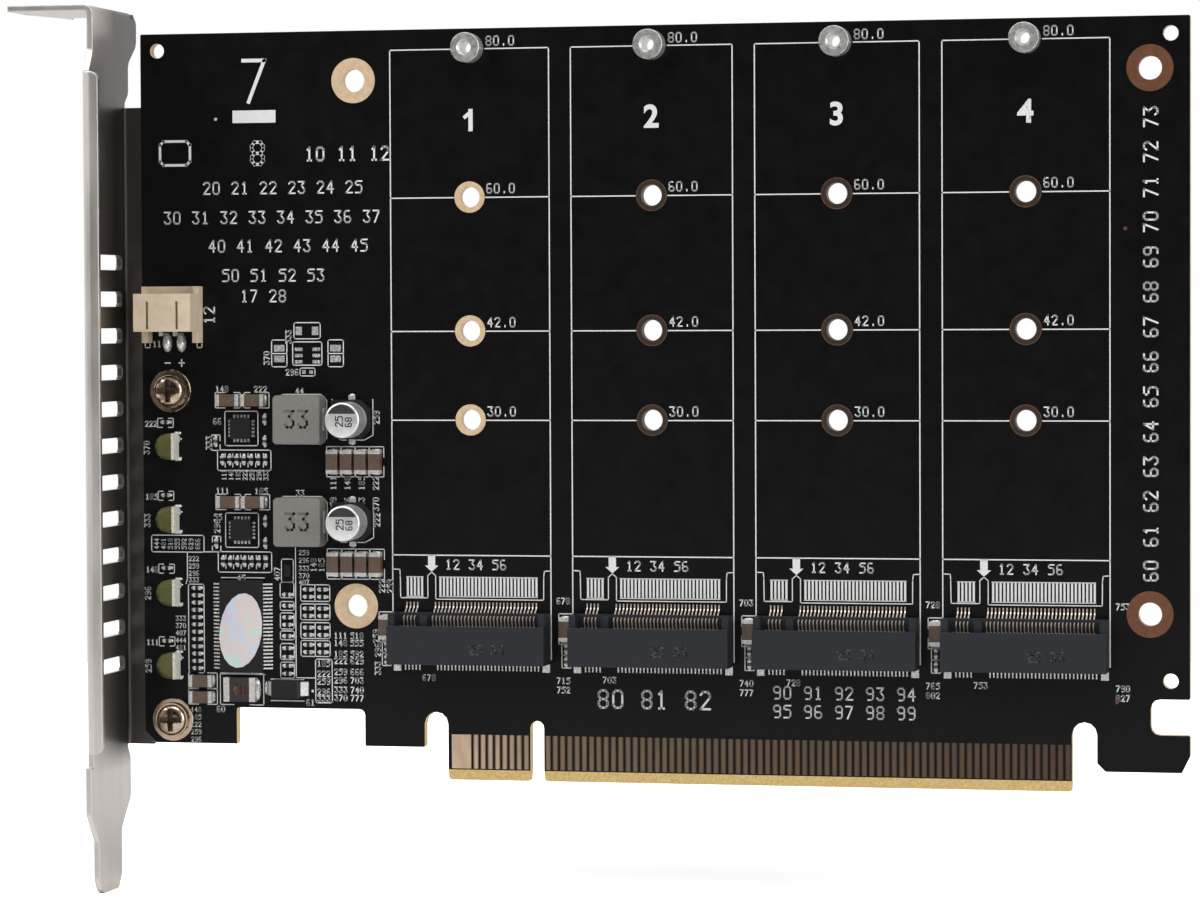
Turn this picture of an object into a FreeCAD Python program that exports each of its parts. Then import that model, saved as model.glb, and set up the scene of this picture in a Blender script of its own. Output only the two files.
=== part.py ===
"""Four-slot M.2 adapter card with its slot bracket.

Frame: X runs along the card away from the bracket, Y runs from the component side to the back,
Z runs up, away from the edge contacts.  The origin is in the middle of the key notch, at the
lower edge of the tongue and at half the board's thickness.  Lengths are millimetres.
"""
import FreeCAD, Part
import math
import os
import Sketcher
from FreeCAD import Placement, Rotation, Vector

# ---------------------------------------------------------------- driving dimensions
SIZES = {
    # circuit board outline
    "board_thick": 1.57,
    "board_left": 55.3,
    "board_right": 87.4,
    "board_top": 101.4,
    "board_corner": 0.2,
    "cut_corner": 0.8,
    "foot_bottom": 4.4,
    "foot_chamfer": 1.6,
    "gap_left": 42.2,
    "gap_right": 24.0,
    "gap_top": 9.4,
    "tongue_left": 12.35,
    "tongue_right": 72.0,
    "relief_width": 3.3,
    "relief_top": 9.2,
    "key_width": 1.9,
    "key_top": 8.2,
    "hook_bottom": 2.75,
    "hook_chamfer": 1.1,
    "latch_depth": 5.1,
    "latch_low": 7.65,
    "latch_high": 12.35,
    "bevel_height": 1.5,
    "bevel_depth": 0.5,
    # edge contacts
    "contact_pitch": 1.0,
    "contact_width": 0.7,
    "contact_low": 1.6,
    "contact_high": 6.2,
    "plating": 0.05,
    # board holes
    "heat_left": -25.15,
    "heat_low": 23.45,
    "heat_across": 107.35,
    "heat_up": 71.2,
    "heat_hole": 3.2,
    "tool_hole": 2.2,
    "module_hole": 2.8,
    "ear_hole": 3.2,
    # module slots
    "slot_first": -9.0,
    "slot_pitch": 25.0,
    "module_end": 18.75,
    # module sockets
    "socket_end": 1.6,
    "socket_high": 4.2,
    "socket_rear": 15.9,
    "socket_jaw": 21.05,
    "socket_shelf": 22.75,
    "shelf_high": 1.3,
    "mouth_gap": 1.3,
    "mouth_floor": 17.6,
    "arm_width": 0.9,
    "arm_high": 3.4,
    "rib_offset": -6.1,
    "rib_width": 1.0,
    "pin_pitch": 0.5,
    "pin_width": 0.22,
    "tail_front": 1.35,
    "tail_rear": 1.15,
    "tail_high": 0.55,
    # module standoffs
    "standoff_outer": 4.0,
    "standoff_bore": 1.6,
    "standoff_high": 2.45,
    # bracket
    "sheet": 0.8,
    "bracket_face": 59.05,
    "bracket_front": 14.9,
    "flange_width": 2.4,
    "rear_flange_width": 4.5,
    "bend_radius": 1.2,
    "front_flange_top": 95.7,
    "flange_low": 4.0,
    "flange_corner": 1.0,
    "rear_flange_top": 91.5,
    "head_front": 12.1,
    "head_rear": 6.3,
    "tab_top": 104.85,
    "tab_length": 11.2,
    "tab_notch": 4.4,
    "blade_front": 11.8,
    "blade_rear": 2.4,
    "blade_low": -15.3,
    "vent_first": 15.35,
    "vent_pitch": 4.99,
    "vent_high": 2.06,
    "vent_front": 13.0,
    "vent_rear": 0.6,
    "ear_low": 7.65,
    "ear_high": 52.7,
    "ear_x": -51.2,
    "ear_reach": 4.4,
    "ear_height": 6.5,
    # bracket screws
    "screw_head": 5.9,
    "screw_head_high": 2.2,
    "screw_shank": 2.9,
    "screw_length": 4.2,
    "cross_width": 0.9,
    "cross_span": 3.2,
    "cross_depth": 1.3,
    # fan header
    "header_x": -50.7,
    "header_low": 60.8,
    "header_top": 66.95,
    "header_width": 8.1,
    "header_high": 5.6,
    "header_wall": 0.8,
    "header_leg": 0.9,
    "header_leg_high": 2.0,
    "header_foot": 1.55,
    "header_lip": 1.0,
    "fan_pin": 0.5,
    "fan_pitch": 2.0,
    "fan_pin_lift": 2.8,
    # light-emitting diodes
    "led_first": 15.1,
    "led_pitch": 10.0,
    "led_base_x": -50.6,
    "led_base_thick": 0.4,
    "led_width": 3.6,
    "led_high": 2.3,
    "led_reach": 2.45,
    # electrolytic capacitors
    "can_x": -25.55,
    "can_dia": 5.0,
    "can_high": 5.4,
    "can_base": 5.3,
    "can_base_high": 0.9,
    "can_leg": 0.65,
    # two supply channels: the upper one and the lower one
    "channel_high": 48.8,
    "channel_low": 34.9,
    # inductors
    "coil_x": -32.6,
    "coil_wide": 6.6,
    "coil_tall": 6.6,
    "coil_high": 3.1,
    "coil_leg": 0.15,
    # clock chip
    "clock_x": -41.2,
    "clock_z": 20.55,
    "clock_wide": 6.1,
    "clock_tall": 12.5,
    "clock_high": 1.1,
    "clock_lead_span": 8.4,
    "clock_pitch": 0.5,
    "label_wide": 6.0,
    "label_tall": 10.3,
    "label_thick": 0.08,
    # regulators
    "regulator_x": -41.25,
    "regulator_side": 2.8,
    "regulator_high": 0.85,
    # fuse and diode
    "fuse_x": -41.5,
    "fuse_z": 11.9,
    "fuse_long": 4.5,
    "fuse_tall": 3.3,
    "fuse_high": 1.1,
    "diode_x": -34.75,
    "diode_z": 12.1,
    "diode_long": 4.0,
    "diode_tall": 2.45,
    "diode_high": 2.1,
    # chips: gap to what stands beside them, then length, width and height of the two case sizes
    "chip_gap": 0.25,
    "big_long": 3.2,
    "big_wide": 1.6,
    "big_high": 1.4,
    "big_band": 0.5,
    "bead_long": 1.6,
    "small_pitch": 1.0,
    "small_long": 1.0,
    "small_wide": 0.5,
    "small_high": 0.35,
}

doc = FreeCAD.newDocument("adapter_card")
sheet = doc.addObject("Spreadsheet::Sheet", "sizes")
for row, (name, value) in enumerate(SIZES.items(), start=1):
    sheet.set("A%d" % row, name)
    sheet.set("B%d" % row, str(value))
    sheet.setAlias("B%d" % row, name)
doc.recompute()
size = {name: float(sheet.get(name)) for name in SIZES}

FRONT = -size["board_thick"] / 2
BACK = size["board_thick"] / 2
SLOTS = [size["slot_first"] + size["slot_pitch"] * k for k in range(4)]
# the module lengths fix the holes above the sockets
POSITION_HOLES = [size["module_end"] + length for length in (30.0, 42.0, 60.0)]
STANDOFF_Z = size["module_end"] + 80.0
HOOK_LEFT = size["tongue_right"] + size["relief_width"]
EARS = [size["ear_low"], size["ear_high"]]
CHANNELS = [size["channel_high"], size["channel_low"]]
PLATE_OUT = -size["bracket_face"]
PLATE_IN = PLATE_OUT + size["sheet"]
FLANGE_BACK = BACK + size["sheet"]
nodes = []


# ---------------------------------------------------------------- helpers
def keep(obj, label):
    """Give an object its label and list it as a node."""
    obj.Label = label
    nodes.append(obj)
    return obj


def group(label, solids):
    """One node that holds several separate solids."""
    obj = doc.addObject("Part::Feature", label)
    obj.Shape = Part.makeCompound(solids) if len(solids) > 1 else solids[0]
    return keep(obj, label)


def origin_plane(body, role):
    return [plane for plane in body.Origin.OriginFeatures if plane.Role == role][0]


def new_sketch(body, role, name, offset=None):
    """A sketch on one of the body's own origin planes; offset is an expression along its normal."""
    sketch = body.newObject("Sketcher::SketchObject", name)
    sketch.AttachmentSupport = [(origin_plane(body, role), "")]
    sketch.MapMode = "FlatFace"
    if offset:
        sketch.setExpression("AttachmentOffset.Base.z", offset)
    return sketch


def outline(corners, facets=2):
    """Points of a closed outline; each corner is (x, y, radius), and radius 0 leaves it sharp.

    A round corner becomes straight steps, so many of them to a quarter turn.
    """
    points = []
    count = len(corners)
    for i, (x, y, radius) in enumerate(corners):
        here = Vector(x, y, 0)
        if radius <= 0:
            points.append(here)
            continue
        before = Vector(*corners[i - 1][:2], 0) - here
        after = Vector(*corners[(i + 1) % count][:2], 0) - here
        before.normalize()
        after.normalize()
        half = math.acos(max(-1.0, min(1.0, before.dot(after)))) / 2
        centre = here + (before + after).normalize() * (radius / math.sin(half))
        spoke = here + before * (radius / math.tan(half)) - centre
        turn = math.pi - 2 * half
        steps = max(1, round(facets * turn / (math.pi / 2)))
        way = 1 if before.cross(after).z < 0 else -1
        for step in range(steps + 1):
            angle = way * turn * step / steps
            points.append(centre + Rotation(Vector(0, 0, 1), math.degrees(angle)).multVec(spoke))
    kept = []
    for point in points:
        if not kept or (point - kept[-1]).Length > 1e-3:
            kept.append(point)
    if (kept[0] - kept[-1]).Length < 1e-3:
        kept.pop()
    return kept


def ring(x, y, diameter, sides, around):
    """Corners of a regular polygon: outside a circle when around is true, inside it otherwise."""
    radius = diameter / 2
    if around:
        radius /= math.cos(math.pi / sides)
    angles = [2 * math.pi * (k + 0.5) / sides for k in range(sides)]
    return [Vector(x + radius * math.cos(a), y + radius * math.sin(a), 0) for a in angles]


def draw_points(sketch, points):
    """Put a closed polygon in a sketch."""
    for start, end in zip(points, points[1:] + points[:1]):
        sketch.addGeometry(Part.LineSegment(start, end), False)


def draw(sketch, corners, facets=2):
    """Put a rounded outline in a sketch."""
    draw_points(sketch, outline(corners, facets))


def standing(points, high, lift=0.0):
    """A polygon in X and Z that stands on the component side."""
    corners = [Vector(point.x, FRONT - lift, point.y) for point in points]
    face = Part.Face(Part.makePolygon(corners + corners[:1]))
    return face.extrude(Vector(0, -high, 0))


def stacked(levels):
    """A solid through polygons at several levels; each level is (points in X and Z, y), with as
    many points and parallel sides, so that every face is flat."""
    loops = [[Vector(point.x, y, point.y) for point in points] for points, y in levels]
    faces = [Part.Face(Part.makePolygon(loop + loop[:1])) for loop in (loops[0], loops[-1])]
    for lower, upper in zip(loops, loops[1:]):
        for i in range(len(lower)):
            j = (i + 1) % len(lower)
            corners = [lower[i], lower[j], upper[j], upper[i], lower[i]]
            faces.append(Part.Face(Part.makePolygon(corners)))
    solid = Part.Solid(Part.Shell(faces))
    if solid.Volume < 0:
        solid.reverse()
    return solid


def turned(profile, x, z, sides):
    """A many-sided turned solid about an axis through x and z; the profile lists (radius, y)."""
    return stacked([(ring(x, z, 2 * radius, sides, False), y) for radius, y in profile])


def rectangle(x0, x1, y0, y1, radius=0.0):
    return [(x0, y0, radius), (x1, y0, radius), (x1, y1, radius), (x0, y1, radius)]


def draw_circles(sketch, centres, alias):
    """Equal circles whose diameter follows one cell of the sheet."""
    first = sketch.GeometryCount
    for x, y in centres:
        sketch.addGeometry(Part.Circle(Vector(x, y, 0), Vector(0, 0, 1), size[alias] / 2), False)
    index = sketch.addConstraint(Sketcher.Constraint("Diameter", first, size[alias]))
    sketch.renameConstraint(index, alias)
    sketch.setExpression("Constraints." + alias, "sizes." + alias)
    for other in range(first + 1, first + len(centres)):
        sketch.addConstraint(Sketcher.Constraint("Equal", first, other))


def feature(body, kind, sketch, name, length, both_ways=False, reverse=False):
    """A pad or pocket of a sketch; length is an expression."""
    made = body.newObject("PartDesign::" + kind, name)
    made.Profile = sketch
    made.SideType = "Symmetric" if both_ways else "One side"
    made.Reversed = reverse
    made.setExpression("Length", length)
    return made


def front_box(x0, x1, z0, z1, lift, high):
    """A block that stands on the component side, lift above the board and high above that."""
    corner = Vector(x0, FRONT - lift - high, z0)
    return Part.makeBox(x1 - x0, high, z1 - z0, corner)


def front_block(x, z, wide, tall, high, lift=0.0):
    """The same block given by its middle."""
    return front_box(x - wide / 2, x + wide / 2, z - tall / 2, z + tall / 2, lift, high)


def prism_x(points, x, width):
    """A section in Y and Z, drawn out along X about x."""
    corners = [Vector(x - width / 2, y, z) for y, z in points]
    face = Part.Face(Part.makePolygon(corners + corners[:1]))
    return face.extrude(Vector(width, 0, 0))


def prism_z(points, z, height):
    """A section in X and Y, drawn out along Z about z."""
    corners = [Vector(x, y, z - height / 2) for x, y in points]
    face = Part.Face(Part.makePolygon(corners + corners[:1]))
    return face.extrude(Vector(0, 0, height))


def chamfered(solid, length, choose):
    """Chamfer the edges that choose picks by their middle and direction."""
    edges = []
    for edge in solid.Edges:
        along = edge.tangentAt(edge.FirstParameter)
        if choose(edge.CenterOfMass, along):
            edges.append(edge)
    return solid.makeChamfer(length, edges)


# ---------------------------------------------------------------- circuit board
def make_board():
    """Laminate with its tongue, key slot, feet, relief slots and retention hook."""
    full = 1e-4
    relief = size["relief_width"] / 2 - full
    key = size["key_width"] / 2
    notch = size["board_right"] - size["latch_depth"]
    chamfer = size["hook_chamfer"]
    foot_edge = size["tongue_left"] + size["relief_width"]
    corner, cut = size["board_corner"], size["cut_corner"]
    low = size["foot_bottom"]
    edge = [
        (-size["board_left"], size["board_top"], corner),
        (size["board_right"], size["board_top"], corner),
        (size["board_right"], size["latch_high"], corner),
        (notch, size["latch_high"], cut * 1.5),
        (notch, size["latch_low"], cut * 1.5),
        (size["board_right"], size["latch_low"], corner),
        (size["board_right"], size["hook_bottom"] + 2 * chamfer, 0),
        (size["board_right"] - chamfer, size["hook_bottom"], 0),
        (HOOK_LEFT + chamfer, size["hook_bottom"], 0),
        (HOOK_LEFT, size["hook_bottom"] + chamfer, 0),
        (HOOK_LEFT, size["relief_top"], relief),
        (size["tongue_right"], size["relief_top"], relief),
        (size["tongue_right"], 0, cut / 2),
        (key, 0, cut / 2),
        (key, size["key_top"], key - full),
        (-key, size["key_top"], key - full),
        (-key, 0, cut / 2),
        (-size["tongue_left"], 0, cut / 2),
        (-size["tongue_left"], size["relief_top"], relief),
        (-foot_edge, size["relief_top"], relief),
        (-foot_edge, low, corner),
        (-size["gap_right"], low, corner),
        (-size["gap_right"], size["gap_top"], cut),
        (-size["gap_left"], size["gap_top"], cut / 2),
        (-size["gap_left"], low, 0),
        (-size["board_left"] + size["foot_chamfer"], low, 0),
        (-size["board_left"], low + size["foot_chamfer"], 0),
    ]
    body = doc.addObject("PartDesign::Body", "circuit_board")
    sketch = new_sketch(body, "XZ_Plane", "board_outline")
    draw(sketch, edge, 3)
    feature(body, "Pad", sketch, "laminate", "sizes.board_thick", both_ways=True)

    across = [size["heat_left"], size["heat_left"] + size["heat_across"]]
    upward = [size["heat_low"], size["heat_low"] + size["heat_up"]]
    tool_inset = 2.4
    tool_top = size["board_top"] - tool_inset + 0.1
    tool_right = size["board_right"] - tool_inset - 0.1
    sketch = new_sketch(body, "XZ_Plane", "heat_hole_sketch")
    draw_circles(sketch, [(x, z) for x in across for z in upward], "heat_hole")
    feature(body, "Pocket", sketch, "heat_holes", "sizes.board_thick * 2", both_ways=True)
    module_holes = [(x, z) for x in SLOTS for z in POSITION_HOLES + [STANDOFF_Z]]
    tool_holes = [
        (-size["board_left"] + tool_inset, tool_top),
        (tool_right, tool_top),
        (tool_right, size["latch_high"] + tool_inset),
    ]
    ear_holes = [(size["ear_x"], z) for z in EARS]
    sketch = new_sketch(body, "XZ_Plane", "plain_hole_sketch")
    for alias, sides, centres in (("module_hole", 10, module_holes), ("tool_hole", 8, tool_holes),
                                  ("ear_hole", 8, ear_holes)):
        for x, z in centres:
            draw_points(sketch, ring(x, z, size[alias], sides, True))
    feature(body, "Pocket", sketch, "plain_holes", "sizes.board_thick * 2", both_ways=True)

    sketch = new_sketch(body, "YZ_Plane", "bevel_sketch")
    for side in (-1, 1):
        face = side * BACK
        inner = face - side * size["bevel_depth"]
        outer = face + side
        draw(sketch, [(face, size["bevel_height"], 0), (inner, 0, 0), (inner, -1, 0),
                      (outer, -1, 0), (outer, size["bevel_height"], 0)])
    feature(body, "Pocket", sketch, "bevels", "sizes.board_right * 3", both_ways=True)
    return keep(body, "circuit_board")


def contact_columns(first_pin, last_pin):
    """Middle of each edge contact; contact 11 and contact 12 stand on either side of the key."""
    middle = size["contact_pitch"] * 1.5
    for pin in range(first_pin, last_pin + 1):
        if pin <= 11:
            yield -middle - (11 - pin) * size["contact_pitch"]
        else:
            yield middle + (pin - 12) * size["contact_pitch"]


def make_edge_contacts():
    """Gold pads on both faces of the tongue; the first three on the front are one wide pad."""
    half = size["contact_width"] / 2
    tall = size["contact_high"] - size["contact_low"]

    def pad(x0, x1, y):
        return Part.makeBox(x1 - x0, size["plating"], tall, Vector(x0, y, size["contact_low"]))

    front_y = FRONT - size["plating"]
    wide = list(contact_columns(1, 3))
    front = [pad(wide[0] - half, wide[-1] + half, front_y)]
    front += [pad(x - half, x + half, front_y) for x in contact_columns(4, 82)]
    group("edge_contacts_front", front)
    group("edge_contacts_back", [pad(x - half, x + half, BACK) for x in contact_columns(1, 82)])


# ---------------------------------------------------------------- module sockets
# from the middle of a socket to its outermost contacts, and to its ends
PIN_SPAN = size["pin_pitch"] * 18.5
SOCKET_HALF = PIN_SPAN + size["socket_end"]


def make_socket_housing(number, x):
    """Moulded housing: a C section with a mouth, an arm at each end and the key rib."""
    body = doc.addObject("PartDesign::Body", "m2_housing_%d" % number)
    shelf = FRONT - size["shelf_high"]
    jaw = shelf - size["mouth_gap"]
    top = FRONT - size["socket_high"]
    lead_in = 0.4
    section = [
        (FRONT, size["socket_rear"], 0),
        (top, size["socket_rear"], 0),
        (top, size["socket_jaw"], 0),
        (jaw - lead_in, size["socket_jaw"], 0),
        (jaw, size["socket_jaw"] - lead_in, 0),
        (jaw, size["mouth_floor"], 0),
        (shelf, size["mouth_floor"], 0),
        (shelf, size["socket_shelf"], 0),
        (FRONT, size["socket_shelf"], 0),
    ]
    sketch = new_sketch(body, "YZ_Plane", "section_%d" % number)
    draw(sketch, section)
    feature(body, "Pad", sketch, "shell_%d" % number, "sizes.pin_pitch * 37 + sizes.socket_end * 2",
            both_ways=True)

    half = SOCKET_HALF
    lift = "sizes.board_thick / 2"
    sketch = new_sketch(body, "XZ_Plane", "arms_%d" % number, lift)
    for x0, x1 in ((-half, -half + size["arm_width"]), (half - size["arm_width"], half)):
        draw(sketch, rectangle(x0, x1, size["socket_rear"], size["socket_shelf"]))
    feature(body, "Pad", sketch, "end_arms_%d" % number, "sizes.arm_high")

    sketch = new_sketch(body, "XZ_Plane", "rib_%d" % number, lift)
    rib = [size["rib_offset"] - size["rib_width"] / 2, size["rib_offset"] + size["rib_width"] / 2]
    draw(sketch, rectangle(rib[0], rib[1], size["socket_rear"], size["socket_shelf"] - 0.3))
    feature(body, "Pad", sketch, "key_rib_%d" % number, "sizes.shelf_high + sizes.mouth_gap")
    place = "sizes.slot_first + %d * sizes.slot_pitch" % (number - 1)
    body.setExpression("Placement.Base.x", place)
    return keep(body, "m2_housing_%d" % number)


def make_socket_contacts(number, x):
    """Solder tails: even contacts leave below the mouth, odd contacts leave at the rear."""
    first = x + PIN_SPAN
    even = list(range(2, 59, 2)) + list(range(68, 75, 2))
    odd = list(range(1, 58, 2)) + list(range(67, 76, 2))
    step = size["pin_pitch"] / 2
    solids = []
    for pins, wall, end in (
        (even, size["socket_shelf"], size["socket_shelf"] + size["tail_front"]),
        (odd, size["socket_rear"], size["socket_rear"] - size["tail_rear"]),
    ):
        wedge = [(FRONT, wall), (FRONT - size["tail_high"], wall), (FRONT, end)]
        for pin in pins:
            solids.append(prism_x(wedge, first - (pin - 1) * step, size["pin_width"]))
    group("m2_contacts_%d" % number, solids)


def make_hold_downs():
    """Solder tabs at the rear corners of each socket."""
    clearance = 0.6
    tab_long, tab_high = size["tail_rear"], 0.3
    low = size["socket_rear"] - tab_long
    solids = []
    for x in SLOTS:
        for side in (-1, 1):
            inner, outer = side * (PIN_SPAN + clearance), side * SOCKET_HALF
            solids.append(front_box(x + min(inner, outer), x + max(inner, outer), low,
                                    size["socket_rear"], 0, tab_high))
    group("m2_solder_tabs", solids)


def make_standoffs():
    """Nuts for the module screws, with a spigot in the board and a chamfered rim."""
    clearance = 0.05
    outer, spigot = size["standoff_outer"] / 2, size["module_hole"] / 2 - clearance
    rim, high = 0.2, size["standoff_high"]
    solids = []
    for x in SLOTS:
        head = turned([(outer - rim, FRONT - high), (outer, FRONT - high + rim), (outer, FRONT)],
                      x, STANDOFF_Z, 12)
        tail = turned([(spigot, FRONT), (spigot, BACK)], x, STANDOFF_Z, 8)
        start = Vector(x, FRONT - high - rim, STANDOFF_Z)
        bore = Part.makeCylinder(size["standoff_bore"] / 2, high + size["board_thick"] + 2 * rim,
                                 start, Vector(0, 1, 0))
        solids.append(head.fuse(tail).cut(bore).removeSplitter().Solids[0])
    group("m2_standoffs", solids)


# ---------------------------------------------------------------- bracket
def make_bracket():
    """One folded sheet: plate with vents, two side flanges, ears behind the board, tab and blade."""
    body = doc.addObject("PartDesign::Body", "bracket")
    front, thick = -size["bracket_front"], size["sheet"]
    radius = size["bend_radius"]
    inner = radius - thick
    flange_end = PLATE_OUT + size["flange_width"]

    # channel between the flange ends, as a folded section seen from above; the rear flange
    # reaches behind the board
    rear_end = PLATE_OUT + size["rear_flange_width"]
    channel = [
        (flange_end, front, 0),
        (PLATE_OUT, front, radius),
        (PLATE_OUT, FLANGE_BACK, radius),
        (rear_end, FLANGE_BACK, 0),
        (rear_end, BACK, 0),
        (PLATE_IN, BACK, inner),
        (PLATE_IN, front + thick, inner),
        (flange_end, front + thick, 0),
    ]
    sketch = new_sketch(body, "XY_Plane", "channel_section", "sizes.flange_low")
    draw(sketch, channel, 3)
    feature(body, "Pad", sketch, "channel", "sizes.front_flange_top - sizes.flange_low")

    # the ends of the flanges: corners taken off, and the rear flange cut lower
    low, high = size["flange_low"], size["front_flange_top"]
    rear_high, curve = size["rear_flange_top"], size["flange_corner"]
    beyond = 1.0
    sketch = new_sketch(body, "XZ_Plane", "front_flange_ends", "sizes.bracket_front + 1")
    for edge, way in ((high, 1), (low, -1)):
        draw(sketch, [(flange_end + beyond, edge + way * beyond, 0),
                      (flange_end - curve, edge + way * beyond, 0), (flange_end - curve, edge, 0),
                      (flange_end - curve * 0.35, edge - way * curve * 0.25, 0),
                      (flange_end, edge - way * curve, 0), (flange_end + beyond, edge - way * curve, 0)])
    feature(body, "Pocket", sketch, "front_flange_corners", "3 * sizes.sheet")
    sketch = new_sketch(body, "XZ_Plane", "rear_flange_top", "-sizes.board_thick / 2 + 1")
    draw(sketch, [(PLATE_OUT - beyond, high + beyond, 0), (PLATE_OUT - beyond, rear_high, 0),
                  (rear_end - curve, rear_high, 0), (rear_end, rear_high - curve, 0),
                  (rear_end + beyond, rear_high - curve, 0), (rear_end + beyond, high + beyond, 0)])
    feature(body, "Pocket", sketch, "rear_flange_cut", "3 * sizes.sheet")

    # the flat plate: head, neck and blade
    bend_front, bend_rear = front + radius, FLANGE_BACK - radius
    neck = FLANGE_BACK - thick / 2
    plate = [
        (bend_front, high - 1.0, 0),
        (bend_front, high + 0.25, 0),
        (-size["head_front"], high + 2.95, 0.8),
        (-size["head_front"], size["tab_top"] - radius, 0),
        (size["head_rear"] - 1.4, size["tab_top"] - radius, 0),
        (size["head_rear"] - 1.4, size["tab_top"] - 0.3, 0),
        (size["head_rear"], size["tab_top"] - 1.4, 0.5),
        (size["head_rear"], high + 4.6, 1.0),
        (BACK + 1.9, high + 1.9, 1.0),
        (BACK + 1.9, rear_high + 2.0, 0.8),
        (neck, rear_high + 0.7, 0),
        (neck, rear_high - 0.6, 0),
        (bend_rear, rear_high - 0.6, 0),
        (bend_rear, low + 1.0, 0),
        (BACK - 0.3, low + 1.0, 0),
        (BACK - 0.3, low - 0.4, 0),
        (FLANGE_BACK, low - 1.9, 0.6),
        (FLANGE_BACK, -3.3, 0.8),
        (-size["blade_rear"], -7.3, 1.0),
        (-size["blade_rear"], size["blade_low"] + 1.9, 0.6),
        (-size["blade_rear"] - 1.4, size["blade_low"], 0.6),
        (-size["blade_front"] + 1.3, size["blade_low"], 1.2),
        (-size["blade_front"], size["blade_low"] + 2.0, 1.0),
        (-size["blade_front"], -8.1, 0.3),
        (front, -4.1, 0.3),
        (front, low - 1.8, 0),
        (front + 1.1, low - 1.8, 0),
        (front + 1.1, low + 0.1, 0),
        (bend_front, low + 0.1, 0),
        (bend_front, low + 1.0, 0),
        (bend_front + 1.0, low + 1.0, 0),
        (bend_front + 1.0, high - 1.0, 0),
    ]
    sketch = new_sketch(body, "YZ_Plane", "plate_outline", "-sizes.bracket_face")
    draw(sketch, plate)
    feature(body, "Pad", sketch, "plate", "sizes.sheet")

    # top tab: folded outwards over the head of the plate
    tab_end = PLATE_IN - size["sheet"] - size["tab_length"]
    top = size["tab_top"]
    fold = [
        (PLATE_IN, top, radius),
        (PLATE_IN, top - 2 * radius, 0),
        (PLATE_OUT, top - 2 * radius, 0),
        (PLATE_OUT, top - thick, inner),
        (tab_end, top - thick, 0),
        (tab_end, top, 0),
    ]
    sketch = new_sketch(body, "XZ_Plane", "tab_section", "sizes.head_front")
    draw(sketch, fold, 3)
    wide = "sizes.head_front + sizes.head_rear - 1.4"
    feature(body, "Pad", sketch, "tab", wide, reverse=True)

    # corner cut and half-round screw notch of the tab
    rear = size["head_rear"]
    notch = size["tab_notch"] / 2
    middle = tab_end + size["tab_length"] / 2
    sketch = new_sketch(body, "XY_Plane", "tab_cut", "sizes.tab_top - 3")
    draw(sketch, [(tab_end - 1, rear + 1, 0), (tab_end - 1, -5.0, 0), (tab_end, -5.0, 0),
                  (middle - notch - 0.6, rear - 3.0, 0), (middle - notch - 0.6, rear + 1, 0)])
    draw(sketch, [(middle - notch, rear + 1, 0), (middle - notch, rear - 4.2, notch - 1e-4),
                  (middle + notch, rear - 4.2, notch - 1e-4), (middle + notch, rear + 1, 0)])
    feature(body, "Pocket", sketch, "tab_notch_cut", "sizes.sheet + 4", reverse=True)

    # vents through the plate
    sketch = new_sketch(body, "YZ_Plane", "vent_sketch", "-sizes.bracket_face - 1")
    half = size["vent_high"] / 2
    for k in range(12):
        z = size["vent_first"] + k * size["vent_pitch"]
        draw(sketch, rectangle(-size["vent_front"], -size["vent_rear"], z - half, z + half,
                               0.45), 1)
    feature(body, "Pocket", sketch, "vents", "sizes.sheet + 2", reverse=True)

    # ears that carry the board, with tapped holes
    ear_end = size["ear_x"] + size["ear_reach"]
    half = size["ear_height"] / 2
    sketch = new_sketch(body, "XZ_Plane", "ear_sketch", "-sizes.board_thick / 2 - sizes.sheet")
    for z in EARS:
        bottom = max(z - half, low)
        draw(sketch, [(rear_end - 1.0, bottom, 0), (ear_end, bottom, 1.0),
                      (ear_end, z + half, 1.0), (rear_end - 1.0, z + half, 0)])
    feature(body, "Pad", sketch, "ears", "sizes.sheet")
    sketch = new_sketch(body, "XZ_Plane", "tap_sketch", "-sizes.board_thick")
    clearance = 0.05
    for z in EARS:
        draw_points(sketch, ring(size["ear_x"], z, size["screw_shank"] + 2 * clearance, 8, True))
    feature(body, "Pocket", sketch, "tapped_holes", "sizes.sheet * 4", both_ways=True)
    return keep(body, "bracket")


def make_bracket_screws():
    """Pan-head cross-recess screws from the component side into the ears."""
    head, shank, high = size["screw_head"] / 2, size["screw_shank"] / 2, size["screw_head_high"]
    span, wide, deep = size["cross_span"], size["cross_width"], size["cross_depth"]
    solids = []
    for z in EARS:
        x = size["ear_x"]
        screw = turned([(head * 0.55, FRONT - high), (head * 0.85, FRONT - high * 0.8),
                        (head, FRONT - high * 0.35), (head, FRONT)], x, z, 14)
        tail = turned([(shank, FRONT), (shank, FRONT + size["screw_length"])], x, z, 8)
        screw = screw.fuse(tail)
        for long_x, long_z in ((span, wide), (wide, span)):
            corner = Vector(x - long_x / 2, FRONT - high - 1, z - long_z / 2)
            screw = screw.cut(Part.makeBox(long_x, deep + 1, long_z, corner))
        solids.append(screw.removeSplitter().Solids[0])
    group("bracket_screws", solids)


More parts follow.
